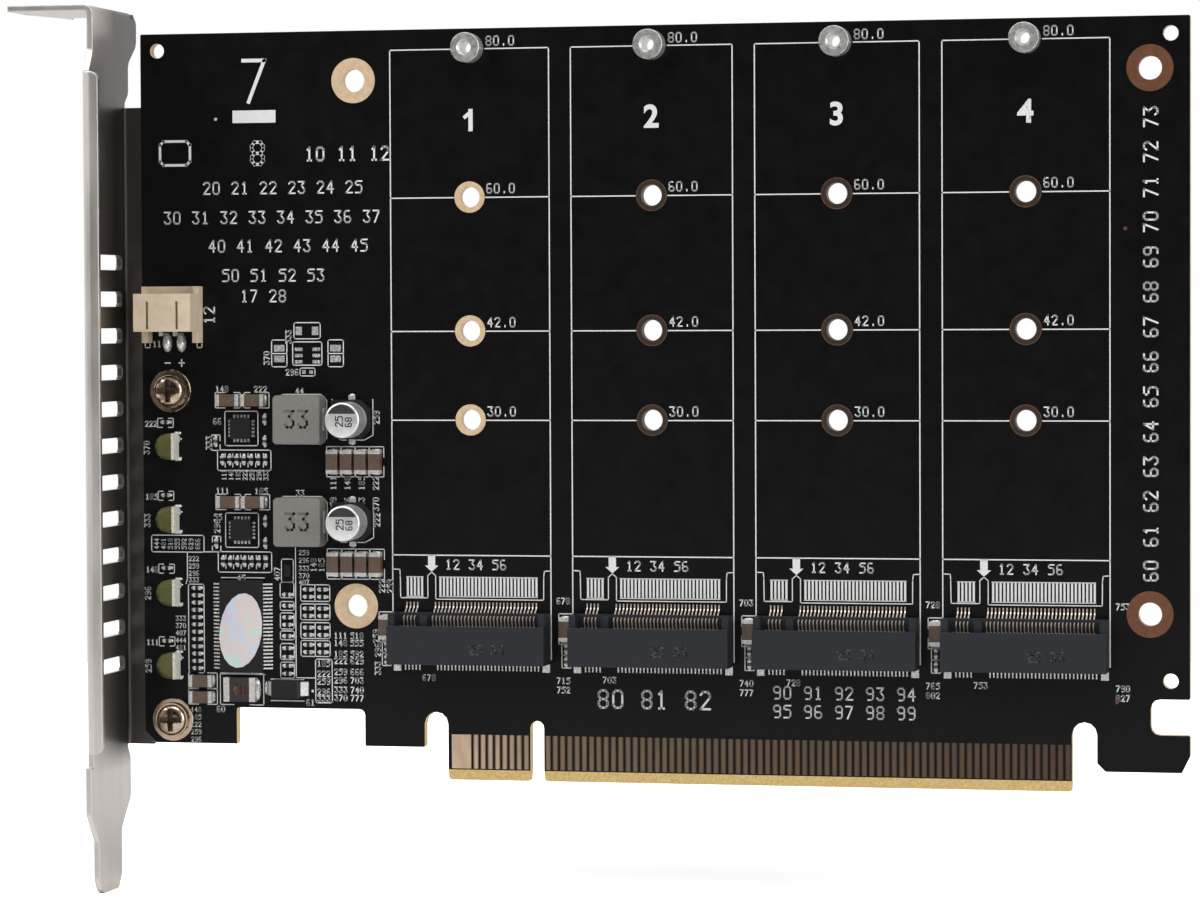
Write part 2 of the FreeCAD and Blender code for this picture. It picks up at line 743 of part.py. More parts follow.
# ---------------------------------------------------------------- fan header
def make_fan_header():
    """Side-entry two-way header: open towards the top edge, slits in its face, two legs."""
    body = doc.addObject("PartDesign::Body", "fan_header_housing")
    x, half = size["header_x"], size["header_width"] / 2
    wall, low, top = size["header_wall"], size["header_low"], size["header_top"]
    lift = "sizes.board_thick / 2"
    sketch = new_sketch(body, "XZ_Plane", "header_outline", lift)
    leg, foot_low = size["header_leg"], low - size["header_foot"]
    draw(sketch, rectangle(x - half, x + half, low, top - size["header_lip"]))
    feature(body, "Pad", sketch, "header_block", "sizes.header_high")
    sketch = new_sketch(body, "XZ_Plane", "header_back_outline", lift)
    draw(sketch, [(x - half, foot_low, 0), (x - half + leg, foot_low, 0), (x - half + leg, low, 0),
                  (x + half - leg, low, 0), (x + half - leg, foot_low, 0), (x + half, foot_low, 0),
                  (x + half, top, 0), (x - half, top, 0)])
    feature(body, "Pad", sketch, "header_back", "sizes.header_leg_high")

    sketch = new_sketch(body, "XY_Plane", "socket_sketch", "sizes.header_low + sizes.header_wall")
    near = FRONT - size["header_high"] + wall
    draw(sketch, rectangle(x - half + wall, x + half - wall, near, FRONT - wall))
    feature(body, "Pocket", sketch, "socket", "sizes.header_top", reverse=True)

    sketch = new_sketch(body, "XZ_Plane", "slit_sketch",
                        "sizes.board_thick / 2 + sizes.header_high + 1")
    slit, offset = 0.35, 2.1
    for middle in (x - offset, x + offset):
        draw(sketch, rectangle(middle - slit / 2, middle + slit / 2, low + wall * 0.4, top - size["header_lip"] * 2.1))
    feature(body, "Pocket", sketch, "slits", "sizes.header_wall + 1.2")

    sketch = new_sketch(body, "XY_Plane", "pin_hole_sketch", "sizes.header_low - 1")
    pin_y, reach = FRONT - size["fan_pin_lift"], size["fan_pin"] / 2
    for side in (-1, 1):
        middle = x + side * size["fan_pitch"] / 2
        draw(sketch, rectangle(middle - reach, middle + reach, pin_y - reach, pin_y + reach))
    feature(body, "Pocket", sketch, "pin_holes", "sizes.header_wall + 2", reverse=True)
    keep(body, "fan_header_housing")

    tip, back, foot_end, foot = top - 1.2, low - 0.2, low - 2.7, 0.4
    section = [(pin_y - reach, tip), (pin_y + reach, tip), (pin_y + reach, back), (FRONT, back),
               (FRONT, foot_end), (FRONT - foot, foot_end), (FRONT - foot, back - foot),
               (pin_y - reach, back - foot)]
    pins = [prism_x(section, x + side * size["fan_pitch"] / 2, size["fan_pin"]) for side in (-1, 1)]
    group("fan_header_pins", pins)


# ---------------------------------------------------------------- small components
def make_lens(x, z, half, high):
    """A lens that is rounded towards the bracket and softened at its top edge."""
    soft, shy = 0.5, 0.05
    levels = []
    for inset, y in ((soft, FRONT - high), (0.0, FRONT - high + soft), (0.0, FRONT)):
        reach, side = x - size["led_reach"] + inset, half - inset
        points = outline([(x, z - side, 0), (x, z + side, 0), (reach, z + side, side - shy),
                          (reach, z - side, side - shy)], 3)
        levels.append((points, y))
    return stacked(levels)


def make_leds():
    """White bases and the rounded lenses that look at the bracket's vents."""
    bases, lenses = [], []
    x, half, high = size["led_base_x"], size["led_width"] / 2, size["led_high"]
    for k in range(4):
        z = size["led_first"] + k * size["led_pitch"]
        bases.append(front_box(x, x + size["led_base_thick"], z - half, z + half, 0, high))
        lenses.append(make_lens(x, z, half, high))
    group("led_bases", bases)
    group("led_lenses", lenses)


def make_capacitors():
    """Electrolytic capacitors: crimped can, base with two cut corners, two terminals."""
    cans, bases, legs = [], [], []
    x, radius, half = size["can_x"], size["can_dia"] / 2, size["can_base"] / 2
    floor, top = FRONT - size["can_base_high"], FRONT - size["can_high"]
    bevel, waist, cut = 0.3, 0.2, 1.2
    for z in CHANNELS:
        profile = [(radius - bevel, top), (radius, top + bevel), (radius, floor - 1.0),
                   (radius - waist, floor - 0.7), (radius - 0.1, floor - 0.4),
                   (radius - 0.1, floor)]
        cans.append(turned(profile, x, z, 14))
        base = outline([(x - half, z - half, 0), (x + half - cut, z - half, 0),
                        (x + half, z - half + cut, 0), (x + half, z + half - cut, 0),
                        (x + half - cut, z + half, 0), (x - half, z + half, 0)])
        bases.append(standing(base, size["can_base_high"]))
        for side in (-1, 1):
            end = z + side * (half + size["can_leg"])
            edge = z + side * half
            legs.append(front_box(x - 0.45, x + 0.45, min(edge, end), max(edge, end), 0, 0.25))
    group("capacitor_cans", cans)
    group("capacitor_bases", bases)
    group("capacitor_terminals", legs)


def make_inductors():
    """Pressed-powder inductors with a terminal folded up each side."""
    bodies, legs = [], []
    half, leg = size["coil_wide"] / 2, size["coil_leg"]
    for z in CHANNELS:
        block = front_block(size["coil_x"], z, size["coil_wide"], size["coil_tall"],
                            size["coil_high"])
        bodies.append(chamfered(block, 0.35, lambda at, along: abs(along.y) > 0.9))
        for side in (-1, 1):
            wall = size["coil_x"] + side * half
            x0, x1 = min(wall, wall + side * leg), max(wall, wall + side * leg)
            legs.append(front_box(x0, x1, z - 1.5, z + 1.5, 0, 1.6))
    group("inductor_bodies", bodies)
    group("inductor_terminals", legs)


def make_clock_chip():
    """Clock chip with gull-wing leads on both sides and an oval label on its face."""
    x, z, high = size["clock_x"], size["clock_z"], size["clock_high"]
    stand = 0.1
    half = size["clock_wide"] / 2
    block = front_block(x, z, size["clock_wide"], size["clock_tall"], high - stand, stand)
    group("clock_chip_body", [block])
    reach = size["clock_lead_span"] / 2
    leads = []
    for k in range(24):
        at = z + (k - 11.5) * size["clock_pitch"]
        for side in (-1, 1):
            wedge = [(x + side * half, FRONT), (x + side * half, FRONT - 0.6),
                     (x + side * reach, FRONT)]
            leads.append(prism_z(wedge, at, 0.22))
    group("clock_chip_leads", leads)

    lean = math.radians(82.0)
    long, wide = size["label_tall"] / 2, size["label_wide"] / 2
    oval = []
    for k in range(20):
        along, across = long * math.cos(math.pi * k / 10), wide * math.sin(math.pi * k / 10)
        oval.append(Vector(x + along * math.cos(lean) - across * math.sin(lean),
                           z - 0.55 + along * math.sin(lean) + across * math.cos(lean), 0))
    label = standing(oval, size["label_thick"], high)
    group("inspection_label", [label])


def make_regulators():
    solids = [front_block(size["regulator_x"], z - 1.25, size["regulator_side"],
                          size["regulator_side"], size["regulator_high"]) for z in CHANNELS]
    group("regulator_chips", solids)


def chip(x, z, long, wide, high, band, upright):
    """Body and two end terminals of a chip; upright chips have their length along Z."""
    body, ends = [], []
    middle = long / 2 - band
    for start, stop, bucket in ((-long / 2, -middle, ends), (-middle, middle, body),
                                (middle, long / 2, ends)):
        if upright:
            bucket.append(front_box(x - wide / 2, x + wide / 2, z + start, z + stop, 0, high))
        else:
            bucket.append(front_box(x + start, x + stop, z - wide / 2, z + wide / 2, 0, high))
    return body, ends


def make_fuse_and_diode():
    body, ends = chip(size["fuse_x"], size["fuse_z"], size["fuse_long"], size["fuse_tall"],
                      size["fuse_high"], 0.85, False)
    group("fuse_body", body)
    group("fuse_terminals", ends)
    x, z, half = size["diode_x"], size["diode_z"], size["diode_long"] / 2
    block = front_block(x, z, size["diode_long"], size["diode_tall"], size["diode_high"])
    face = FRONT - size["diode_high"]
    block = chamfered(block, 0.3, lambda at, along: at.y < face + 0.01 and abs(along.z) > 0.9)
    group("diode_body", [block])
    legs = []
    for side in (-1, 1):
        wall, end = x + side * half, x + side * (half + 0.85)
        wedge = [(wall, FRONT), (wall, FRONT - 1.3), (end, FRONT - 0.3), (end, FRONT)]
        legs.append(prism_z(wedge, z, 1.9))
    group("diode_terminals", legs)


def make_large_chips():
    """Ceramic capacitors: two rows of four, two pairs, one pair by the foot, one at each socket."""
    upper, lower = CHANNELS
    row = [size["can_x"] - 2.6 + 1.98 * k for k in range(4)]
    places = [(x, z - 5.75, True) for z in CHANNELS for x in row]
    pair = [size["regulator_x"] + dx for dx in (-1.65, 1.9)]
    places += [(x, z + 2.6, False) for z in CHANNELS for x in pair]
    places += [(size["clock_x"] - 5.8, size["fuse_z"] + dz, False) for dz in (1.1, -1.1)]
    beside = SOCKET_HALF + size["chip_gap"] + size["big_wide"] / 2
    places += [(x - beside, size["socket_rear"] + 4.75, True) for x in SLOTS]
    bodies, ends = [], []
    for x, z, upright in places:
        body, pair_of_ends = chip(x, z, size["big_long"], size["big_wide"], size["big_high"],
                                  size["big_band"], upright)
        bodies += body
        ends += pair_of_ends
    group("ceramic_capacitor_bodies", bodies)
    group("ceramic_capacitor_ends", ends)
    body, ends = chip(size["clock_x"] + 6.5, size["clock_z"] + 7.65, size["bead_long"],
                      size["bead_long"] / 2, size["bead_long"] / 2, size["bead_long"] / 5, True)
    group("ferrite_bead", [body[0].fuse(ends).removeSplitter().Solids[0]])


def make_small_chips():
    """Small chips: each a single block, resistors in one node and capacitors in another."""
    def small(x, z, upright):
        wide, tall = size["small_wide"], size["small_long"]
        if not upright:
            wide, tall = tall, wide
        return front_block(x, z, wide, tall, size["small_high"])

    clock, level, pitch = size["clock_x"], size["clock_z"], size["small_pitch"]
    resistors = [small(clock - 6.5, level + 5.15 - k * pitch, False) for k in range(12)]
    for dz in (4.35, 2.85, 1.25, 0.25, -1.3, -2.95, -4.15, -5.35, -6.45):
        resistors.append(small(clock + 6.35, level + dz, False))
    for dz in (5.1, 2.5, -0.1, -2.45):
        for column, row in ((0, 0), (1, 0), (0, 1), (1, 1)):
            x = clock + 9.3 + column * (size["small_long"] + 1.05)
            resistors.append(small(x, level + dz - row * pitch, False))
    for k in range(4):
        beyond = size["led_width"] / 2 + 1.5
        resistors.append(small(size["led_base_x"] - 1.4,
                               size["led_first"] + k * size["led_pitch"] + beyond, False))
    capacitors = []
    for z in CHANNELS:
        for k in range(7):
            resistors.append(small(size["regulator_x"] - 2.7 + pitch * 1.02 * k, z - 5.5, True))
        capacitors.append(small(size["regulator_x"] + 3.35, z, True))
        capacitors.append(small(size["regulator_x"] + 3.35, z - 3.0, True))
        capacitors.append(small(size["regulator_x"] - 3.65, z - 3.0, True))
    beside = SOCKET_HALF + size["chip_gap"] + size["big_wide"] / 2
    first = size["socket_rear"] + 4.75 - size["big_long"] / 2 - size["small_long"] / 2 - 0.55
    for x in SLOTS:
        for step in (0.0, 1.0):
            capacitors.append(small(x - beside, first - step * (size["small_long"] + 0.75), True))
    group("chip_resistors", resistors)
    group("small_capacitors", capacitors)


# ---------------------------------------------------------------- build
make_board()
make_edge_contacts()
for slot_number, slot_x in enumerate(SLOTS, start=1):
    make_socket_housing(slot_number, slot_x)
    make_socket_contacts(slot_number, slot_x)
make_hold_downs()
make_standoffs()
make_bracket()
make_bracket_screws()
make_fan_header()
make_leds()
make_capacitors()
make_inductors()
make_clock_chip()
make_regulators()
make_fuse_and_diode()
make_large_chips()
make_small_chips()
doc.recompute()

for obj in doc.Objects:
    if "Invalid" in obj.State or "Error" in obj.State:
        raise RuntimeError("%s failed: %s" % (obj.Name, obj.State))
os.makedirs("parts", exist_ok=True)
for obj in nodes:
    shape = obj.Shape
    if shape.isNull() or not shape.isValid():
        raise RuntimeError(obj.Label + " has no valid shape")
    shape.exportStep("parts/%s.step" % obj.Label)
    print("%-26s %3d solids %9.3f mm3" % (obj.Label, len(shape.Solids), shape.Volume))
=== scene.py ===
"""Looks of the four-slot M.2 adapter card: finishes, legend, plated rings, solder and small parts.

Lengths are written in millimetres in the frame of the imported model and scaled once, by MM.
X runs away from the bracket, Y from the component side to the back, Z up.
"""
import math

import bpy
from mathutils import Matrix, Vector


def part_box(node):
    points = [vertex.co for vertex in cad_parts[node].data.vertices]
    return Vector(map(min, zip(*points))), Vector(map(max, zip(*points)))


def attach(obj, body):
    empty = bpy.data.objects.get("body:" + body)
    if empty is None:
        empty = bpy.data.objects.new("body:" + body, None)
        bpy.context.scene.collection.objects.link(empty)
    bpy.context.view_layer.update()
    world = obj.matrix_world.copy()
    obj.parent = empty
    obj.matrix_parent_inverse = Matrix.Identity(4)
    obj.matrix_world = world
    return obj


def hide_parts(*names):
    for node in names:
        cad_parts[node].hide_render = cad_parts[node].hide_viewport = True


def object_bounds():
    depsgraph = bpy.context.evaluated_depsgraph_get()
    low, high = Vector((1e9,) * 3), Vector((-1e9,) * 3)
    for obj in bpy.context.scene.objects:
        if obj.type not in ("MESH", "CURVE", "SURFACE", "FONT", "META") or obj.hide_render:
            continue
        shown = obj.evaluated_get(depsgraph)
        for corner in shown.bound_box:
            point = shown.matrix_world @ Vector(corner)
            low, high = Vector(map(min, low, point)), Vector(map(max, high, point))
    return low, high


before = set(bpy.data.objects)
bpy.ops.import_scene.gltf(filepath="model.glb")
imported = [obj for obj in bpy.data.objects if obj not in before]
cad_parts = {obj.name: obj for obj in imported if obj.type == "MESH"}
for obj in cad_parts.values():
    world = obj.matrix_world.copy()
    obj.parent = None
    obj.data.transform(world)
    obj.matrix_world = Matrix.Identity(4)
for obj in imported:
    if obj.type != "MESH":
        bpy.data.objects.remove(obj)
cad_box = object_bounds()

MM = 0.001


# ---------------- places taken from the frame
def box_mm(node):
    """Lowest and highest corner of a node in millimetres."""
    low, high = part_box(node)
    return Vector(low) / MM, Vector(high) / MM


def middle(node):
    low, high = box_mm(node)
    return (low + high) / 2


def solid_boxes(node):
    """Lowest and highest corner of each solid of a node, in millimetres."""
    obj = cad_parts[node]
    mesh = obj.data
    first, root = {}, []
    for index, vertex in enumerate(mesh.vertices):
        key = tuple(round(c, 7) for c in vertex.co)
        root.append(first.setdefault(key, index))

    def top(index):
        while root[index] != index:
            index = root[index]
        return index

    for face in mesh.polygons:
        corners = [top(index) for index in face.vertices]
        for other in corners[1:]:
            root[top(other)] = top(corners[0])
    groups = {}
    for index, vertex in enumerate(mesh.vertices):
        groups.setdefault(top(index), []).append(obj.matrix_world @ vertex.co / MM)
    boxes = []
    for points in groups.values():
        low = Vector([min(p[axis] for p in points) for axis in range(3)])
        high = Vector([max(p[axis] for p in points) for axis in range(3)])
        boxes.append((low, high))
    return sorted(boxes, key=lambda box: (round(box[0].x, 2), round(box[0].z, 2)))


def solid_middles(node):
    """Middle of each solid of a node, in millimetres."""
    return [(low + high) / 2 for low, high in solid_boxes(node)]


BOARD_LOW, BOARD_HIGH = box_mm("circuit_board")
FRONT = BOARD_LOW.y
BACK = BOARD_HIGH.y
SLOTS = [middle("m2_housing_%d" % k).x for k in (1, 2, 3, 4)]
SOCKET_LOW = box_mm("m2_housing_1")[0]
STANDOFF_Z = middle("m2_standoffs").z
MODULE_END = STANDOFF_Z - 80.0
POSITION_HOLES = [MODULE_END + length for length in (60.0, 42.0, 30.0)]
HEAT_HOLES = [(x, z) for x in (-25.15, 82.2) for z in (94.65, 23.45)]
TOOLING_HOLES = [(BOARD_LOW.x + 2.4, BOARD_HIGH.z - 2.3), (BOARD_HIGH.x - 2.5, BOARD_HIGH.z - 2.3),
                 (BOARD_HIGH.x - 2.5, 14.75)]
COILS = solid_middles("inductor_bodies")
CANS = solid_middles("capacitor_bases")
LEDS = solid_middles("led_bases")
REGULATORS = solid_middles("regulator_chips")
SCREWS = [((low.x + high.x) / 2, (low.z + high.z) / 2) for low, high in solid_boxes("bracket_screws")]
SCREW_END = box_mm("bracket_screws")[1].y
# from the middle of a socket to its first contact
PIN_SPAN = 9.25
# height of the print, and of the plated rings, above the laminate
INK = 0.02
FOIL = 0.035
# widths of printed lines: module fields, outlines of parts
THIN = 0.16
FINE = 0.13


# ---------------- shader nodes
class Graph:
    """The shader nodes of a material or of the world.

    What feeds an input is a number, a colour or the output of another node.
    """

    def __init__(self, owner):
        owner.use_nodes = True
        self.nodes = owner.node_tree.nodes
        self.links = owner.node_tree.links
        self.shader = self.nodes.get("Principled BSDF")

    def feed(self, node, key, value):
        if isinstance(value, bpy.types.NodeSocket):
            self.links.new(value, node.inputs[key])
        else:
            node.inputs[key].default_value = value

    def node(self, kind, inputs=None, **settings):
        """A new node with its settings, and what feeds its inputs by name or place."""
        made = self.nodes.new("ShaderNode" + kind)
        for key, value in settings.items():
            setattr(made, key, value)
        for key, value in (inputs or {}).items():
            self.feed(made, key, value)
        return made

    def math(self, operation, first, second):
        return self.node("Math", {0: first, 1: second}, operation=operation).outputs[0]

    def where(self, kind="Object"):
        return self.node("TexCoord").outputs[kind]

    def parts(self, vector):
        """X, Y and Z of a vector, by name."""
        return self.node("SeparateXYZ", {0: vector}).outputs

    def spread(self, value, start, end, low=0.0, high=1.0):
        """Runs from low to high while the value runs from start to end."""
        inputs = {"Value": value, "From Min": start, "From Max": end, "To Min": low, "To Max": high}
        return self.node("MapRange", inputs).outputs[0]

    def ramp(self, factor, stops):
        """Colours through stops of (position, colour)."""
        made = self.node("ValToRGB", {"Fac": factor})
        marks = made.color_ramp.elements
        for mark, (position, colour) in zip(marks, (stops[0], stops[-1])):
            mark.position = position
            mark.color = (*colour, 1)
        for position, colour in stops[1:-1]:
            marks.new(position).color = (*colour, 1)
        return made.outputs["Color"]

    def noise(self, size_mm, detail=3.0, stretch=(1, 1, 1)):
        """Noise in object space with features of about size_mm."""
        place = self.node("Mapping", {"Vector": self.where(), "Scale": stretch}).outputs[0]
        inputs = {"Vector": place, "Scale": 1.0 / (size_mm * MM), "Detail": detail}
        return self.node("TexNoise", inputs).outputs["Fac"]

    def mottle(self, size_mm, shades, stretch=(1, 1, 1)):
        """Noise that runs between two colours."""
        return self.between(self.noise(size_mm, stretch=stretch), shades)

    def between(self, factor, shades):
        return self.ramp(factor, ((0.35, shades[0]), (0.65, shades[1])))

    def paint(self, factor, colour, blend_type="MIX"):
        """Lay a colour over the main shader's own, by factor."""
        skin = self.shader.inputs["Base Color"].links[0].from_socket
        mix = self.node("Mix", {"Factor": factor, "A": skin, "B": colour}, data_type="RGBA",
                        blend_type=blend_type)
        self.feed(self.shader, "Base Color", mix.outputs["Result"])


# ---------------- camera and stage
def show(name, data):
    """A new object of the scene that holds this data."""
    obj = bpy.data.objects.new(name, data)
    bpy.context.scene.collection.objects.link(obj)
    return obj


def set_camera():
    """The lens and the place that the card is looked at from."""
    camera = bpy.data.cameras.new("camera")
    camera.sensor_width = 36.0
    camera.lens = 128.42
    camera.clip_start = 0.01
    holder = show("camera", camera)
    right = Vector((0.97685, 0.21389, -0.00441))
    up = Vector((-0.00261, 0.03255, 0.99947))
    forward = Vector((-0.21392, 0.97632, -0.03235))
    turn = Matrix((right, up, -forward)).transposed().to_4x4()
    holder.matrix_world = Matrix.Translation(Vector((131.51, -560.71, 63.36)) * MM) @ turn
    bpy.context.scene.camera = holder


def set_world():
    """White to the eye; a mirror sees a pale room that is dark where the board faces."""
    world = bpy.data.worlds.new("studio")
    bpy.context.scene.world = world
    graph = Graph(world)
    graph.nodes.clear()
    towards_board = (-0.214, -0.976, -0.03)
    along = graph.node("VectorMath", {0: graph.where("Generated"), 1: towards_board},
                       operation="DOT_PRODUCT")
    turned_away = graph.spread(along.outputs["Value"], 1.0, -1.0)
    room = graph.ramp(turned_away, ((0.03, (0.02, 0.02, 0.021)), (0.09, (0.22, 0.22, 0.22)),
                                    (0.2, (0.62, 0.62, 0.62)), (0.5, (0.95, 0.95, 0.95))))
    shown, level, mirrored = [graph.node("Background", {"Color": colour}).outputs[0]
                              for colour in ((1, 1, 1, 1), (0.42, 0.42, 0.43, 1), room)]
    path = graph.node("LightPath").outputs
    either = graph.math("MAXIMUM", path["Is Glossy Ray"], path["Is Transmission Ray"])
    first = graph.node("MixShader", {"Fac": either, 1: level, 2: mirrored}).outputs[0]
    second = graph.node("MixShader", {"Fac": path["Is Camera Ray"], 1: first, 2: shown}).outputs[0]
    graph.node("OutputWorld", {"Surface": second})


def add_lamp(name, place, target, size, power):
    """A square soft light that looks from place to target, both in millimetres."""
    lamp = bpy.data.lights.new(name, "AREA")
    lamp.shape = "RECTANGLE"
    lamp.size = size[0] * MM
    lamp.size_y = size[1] * MM
    lamp.energy = power
    holder = show(name, lamp)
    holder.location = Vector(place) * MM
    aim = (Vector(target) - Vector(place)).to_track_quat("-Z", "Y")
    holder.rotation_euler = aim.to_euler()


def make_floor():
    """A pale round floor under the bracket's blade that keeps the card's shadow."""
    material = new_material("pale_floor", (0.9, 0.9, 0.9), 0.9)
    graph = Graph(material)
    far = graph.node("VectorMath", {0: graph.where()}, operation="LENGTH").outputs["Value"]
    glow = graph.spread(far, 50 * MM, 200 * MM, 0.6, 1.0)
    seen = graph.node("LightPath").outputs["Is Camera Ray"]
    graph.feed(graph.shader, "Emission Strength", graph.math("MULTIPLY", glow, seen))
    graph.feed(graph.shader, "Emission Color", (1, 1, 1, 1))
    radius = 400 * MM
    sides = 64
    mesh = bpy.data.meshes.new("floor")
    mesh.from_pydata([(radius * across, radius * up, 0) for across, up in circle(sides)], [],
                     [tuple(range(sides))])
    mesh.materials.append(material)
    floor = show("floor", mesh)
    floor.location = (0, 0, cad_box[0][2] - 0.02 * MM)


# ---------------- materials
def new_material(name, colour, roughness, metallic=0.0):
    """A material whose main shader has one colour."""
    material = bpy.data.materials.new(name)
    shader = Graph(material).shader
    shader.inputs["Base Color"].default_value = (*colour, 1)
    shader.inputs["Roughness"].default_value = roughness
    shader.inputs["Metallic"].default_value = metallic
    return material


def finish(name, colour, shades, grain, roughness, metallic=0.0, edge=0.0, bump=0.0, shine=None,
           stretch=(1, 1, 1)):
    """A mottled material.

    shades are its darkest and palest colour and grain is the size of the mottling. A roughness of
    three values is its mean and its limits. edge is the radius to which sharp edges are softened in
    the shading, bump is the depth of the grain and shine is the specular level.
    """
    mean, *limits = roughness if isinstance(roughness, tuple) else (roughness,)
    material = new_material(name, colour, mean, metallic)
    graph = Graph(material)
    shader = graph.shader
    factor = graph.noise(grain, stretch=stretch)
    graph.feed(shader, "Base Color", graph.between(factor, shades))
    if limits:
        graph.feed(shader, "Roughness", graph.spread(factor, 0.3, 0.7, *limits))
    if shine is not None:
        graph.feed(shader, "Specular IOR Level", shine)
    if edge:
        normal = graph.node("Bevel", {"Radius": edge * MM}, samples=6).outputs[0]
        if bump:
            relief = {"Strength": 0.5, "Distance": bump * MM, "Height": factor, "Normal": normal}
            normal = graph.node("Bump", relief).outputs[0]
        graph.feed(shader, "Normal", normal)
    return material


def show_laminate(material, shades):
    """Paint the cut faces between the two skins of the board as bare laminate."""
    graph = Graph(material)
    away = graph.node("Math", {0: graph.parts(graph.where())["Y"]}, operation="ABSOLUTE").outputs[0]
    inside = graph.math("LESS_THAN", away, (BACK - 0.02) * MM)
    graph.paint(inside, graph.mottle(0.3, shades))


def shade_along_x(name, stops, roughness, metallic):
    """A metal whose colour changes along the card as a painted reflection; stops lists (x, colour)."""
    material = new_material(name, stops[0][1], roughness, metallic)
    graph = Graph(material)
    start, end = stops[0][0], stops[-1][0]
    along = graph.spread(graph.parts(graph.where())["X"], start * MM, end * MM)
    # painted reflection: the colour by X stands in for the light that the metal mirrors
    colours = graph.ramp(along, [((x - start) / (end - start), colour) for x, colour in stops])
    graph.feed(graph.shader, "Base Color", colours)
    worn = graph.mottle(0.6, ((0.82, 0.82, 0.82), (1.0, 1.0, 1.0)), stretch=(1, 1, 0.2))
    graph.paint(1.0, worn, "MULTIPLY")
    return material


def darken_edges(material, pitch, start):
    """Darken both sides of fingers that are centred on half pitches, beyond X = start."""
    graph = Graph(material)
    x = graph.parts(graph.where())["X"]
    half = 0.5 * pitch * MM
    # 0 at the middle of a finger and half a pitch between two of them
    folded = graph.math("PINGPONG", graph.math("ADD", x, half), half)
    edge = graph.math("GREATER_THAN", folded, 0.21 * pitch * MM)
    beyond = graph.math("GREATER_THAN", x, start * MM)
    share = graph.math("MULTIPLY", graph.math("MULTIPLY", edge, beyond), 0.62)
    graph.paint(share, (0.01, 0.007, 0.005, 1))


def dull_inside(material):
    """Paint shade over the bracket's faces that look into the card, where they lie in shade and only the
    dark room is mirrored.
    """
    graph = Graph(material)
    place = graph.parts(graph.where())
    normal = graph.parts(graph.node("NewGeometry").outputs["True Normal"])
    behind = graph.math("MULTIPLY", graph.spread(normal["Y"], -0.4, -0.6),
                        graph.spread(place["Y"], -3 * MM, -2 * MM))
    inner = graph.math("MULTIPLY", graph.spread(normal["X"], 0.4, 0.6),
                       graph.spread(place["Y"], -15 * MM, -3 * MM))
    above_foot = graph.math("MULTIPLY", inner, graph.spread(place["Z"], 1 * MM, 4 * MM))
    share = graph.math("MULTIPLY", graph.math("MAXIMUM", behind, above_foot), 0.86)
    # painted shade: a dark brown laid over the nickel of the rear flange's front face and of the plate's
    # inner face
    graph.paint(share, (0.028, 0.023, 0.021, 1))


def make_label_film():
    """Pale film whose hue drifts between rose, green and blue."""
    material = new_material("label_film", (0.6, 0.6, 0.6), 0.3, 0.15)
    graph = Graph(material)
    hues = graph.ramp(graph.noise(3.2, detail=1.0),
                      ((0.3, (0.47, 0.6, 0.56)), (0.44, (0.62, 0.52, 0.5)),
                       (0.58, (0.5, 0.56, 0.64)), (0.72, (0.6, 0.46, 0.56))))
    graph.feed(graph.shader, "Base Color", hues)
    return material


MASK = finish(
    "solder_mask", (0.0035, 0.0035, 0.004), ((0.0032, 0.0032, 0.0036), (0.0038, 0.0038, 0.0043)), 2.5,
    (0.3, 0.27, 0.33), shine=0.14)
show_laminate(MASK, ((0.46, 0.32, 0.12), (0.6, 0.44, 0.19)))
LEGEND = finish("legend", (0.57, 0.57, 0.56), ((0.51, 0.51, 0.5), (0.63, 0.63, 0.62)), 0.12, 0.6)
# the finger plating is painted light near the bracket and dark beyond: a painted reflection
PLATING = shade_along_x("finger_plating", ((-12, (0.52, 0.37, 0.26)), (-6, (0.44, 0.31, 0.21)),
                                           (2, (0.17, 0.115, 0.065)), (20, (0.115, 0.074, 0.038)),
                                           (72, (0.07, 0.035, 0.017))), 0.5, 0.3)
darken_edges(PLATING, 1.0, -9.2)
# one gold plating in three copies, painted light at the bracket's end and brown and dark beyond: a
# painted reflection
RING_TAN_LIT = finish(
    "ring_tan_lit", (0.57, 0.42, 0.26), ((0.52, 0.38, 0.235), (0.61, 0.455, 0.29)), 0.7, 0.5, 0.3)
RING_BROWN_SHADED = finish(
    "ring_brown_shaded", (0.11, 0.036, 0.011), ((0.09, 0.03, 0.009), (0.125, 0.042, 0.014)), 0.7, 0.5, 0.1)
RING_DARK_SHADED = finish(
    "ring_dark_shaded", (0.016, 0.011, 0.006), ((0.013, 0.009, 0.005), (0.021, 0.0145, 0.008)), 0.7, 0.5, 0.2)
NICKEL = finish(
    "nickel_sheet", (0.61, 0.565, 0.525), ((0.57, 0.525, 0.49), (0.64, 0.595, 0.555)), 3.0,
    (0.4, 0.36, 0.44), 1.0, edge=0.3, stretch=(1, 1, 0.2))
SCREW = finish(
    "screw_plating", (0.46, 0.36, 0.27), ((0.4, 0.31, 0.22), (0.52, 0.42, 0.32)), 0.6,
    (0.2, 0.14, 0.24), 1.0)
NUT = finish(
    "nut_plating", (0.62, 0.61, 0.58), ((0.56, 0.55, 0.53), (0.68, 0.67, 0.64)), 0.6, (0.3, 0.24, 0.36),
    0.75)
TIN = finish(
    "tinned_leads", (0.56, 0.55, 0.53), ((0.46, 0.45, 0.43), (0.64, 0.63, 0.6)), 0.25,
    (0.38, 0.3, 0.45), 0.6, edge=0.12)
SOLDER = finish(
    "solder", (0.62, 0.62, 0.6), ((0.52, 0.52, 0.5), (0.7, 0.7, 0.68)), 0.3, (0.24, 0.18, 0.32), 0.6)
BRONZE = finish(
    "contact_bronze", (0.52, 0.44, 0.38), ((0.46, 0.38, 0.32), (0.58, 0.5, 0.44)), 0.4, 0.34, 0.6)
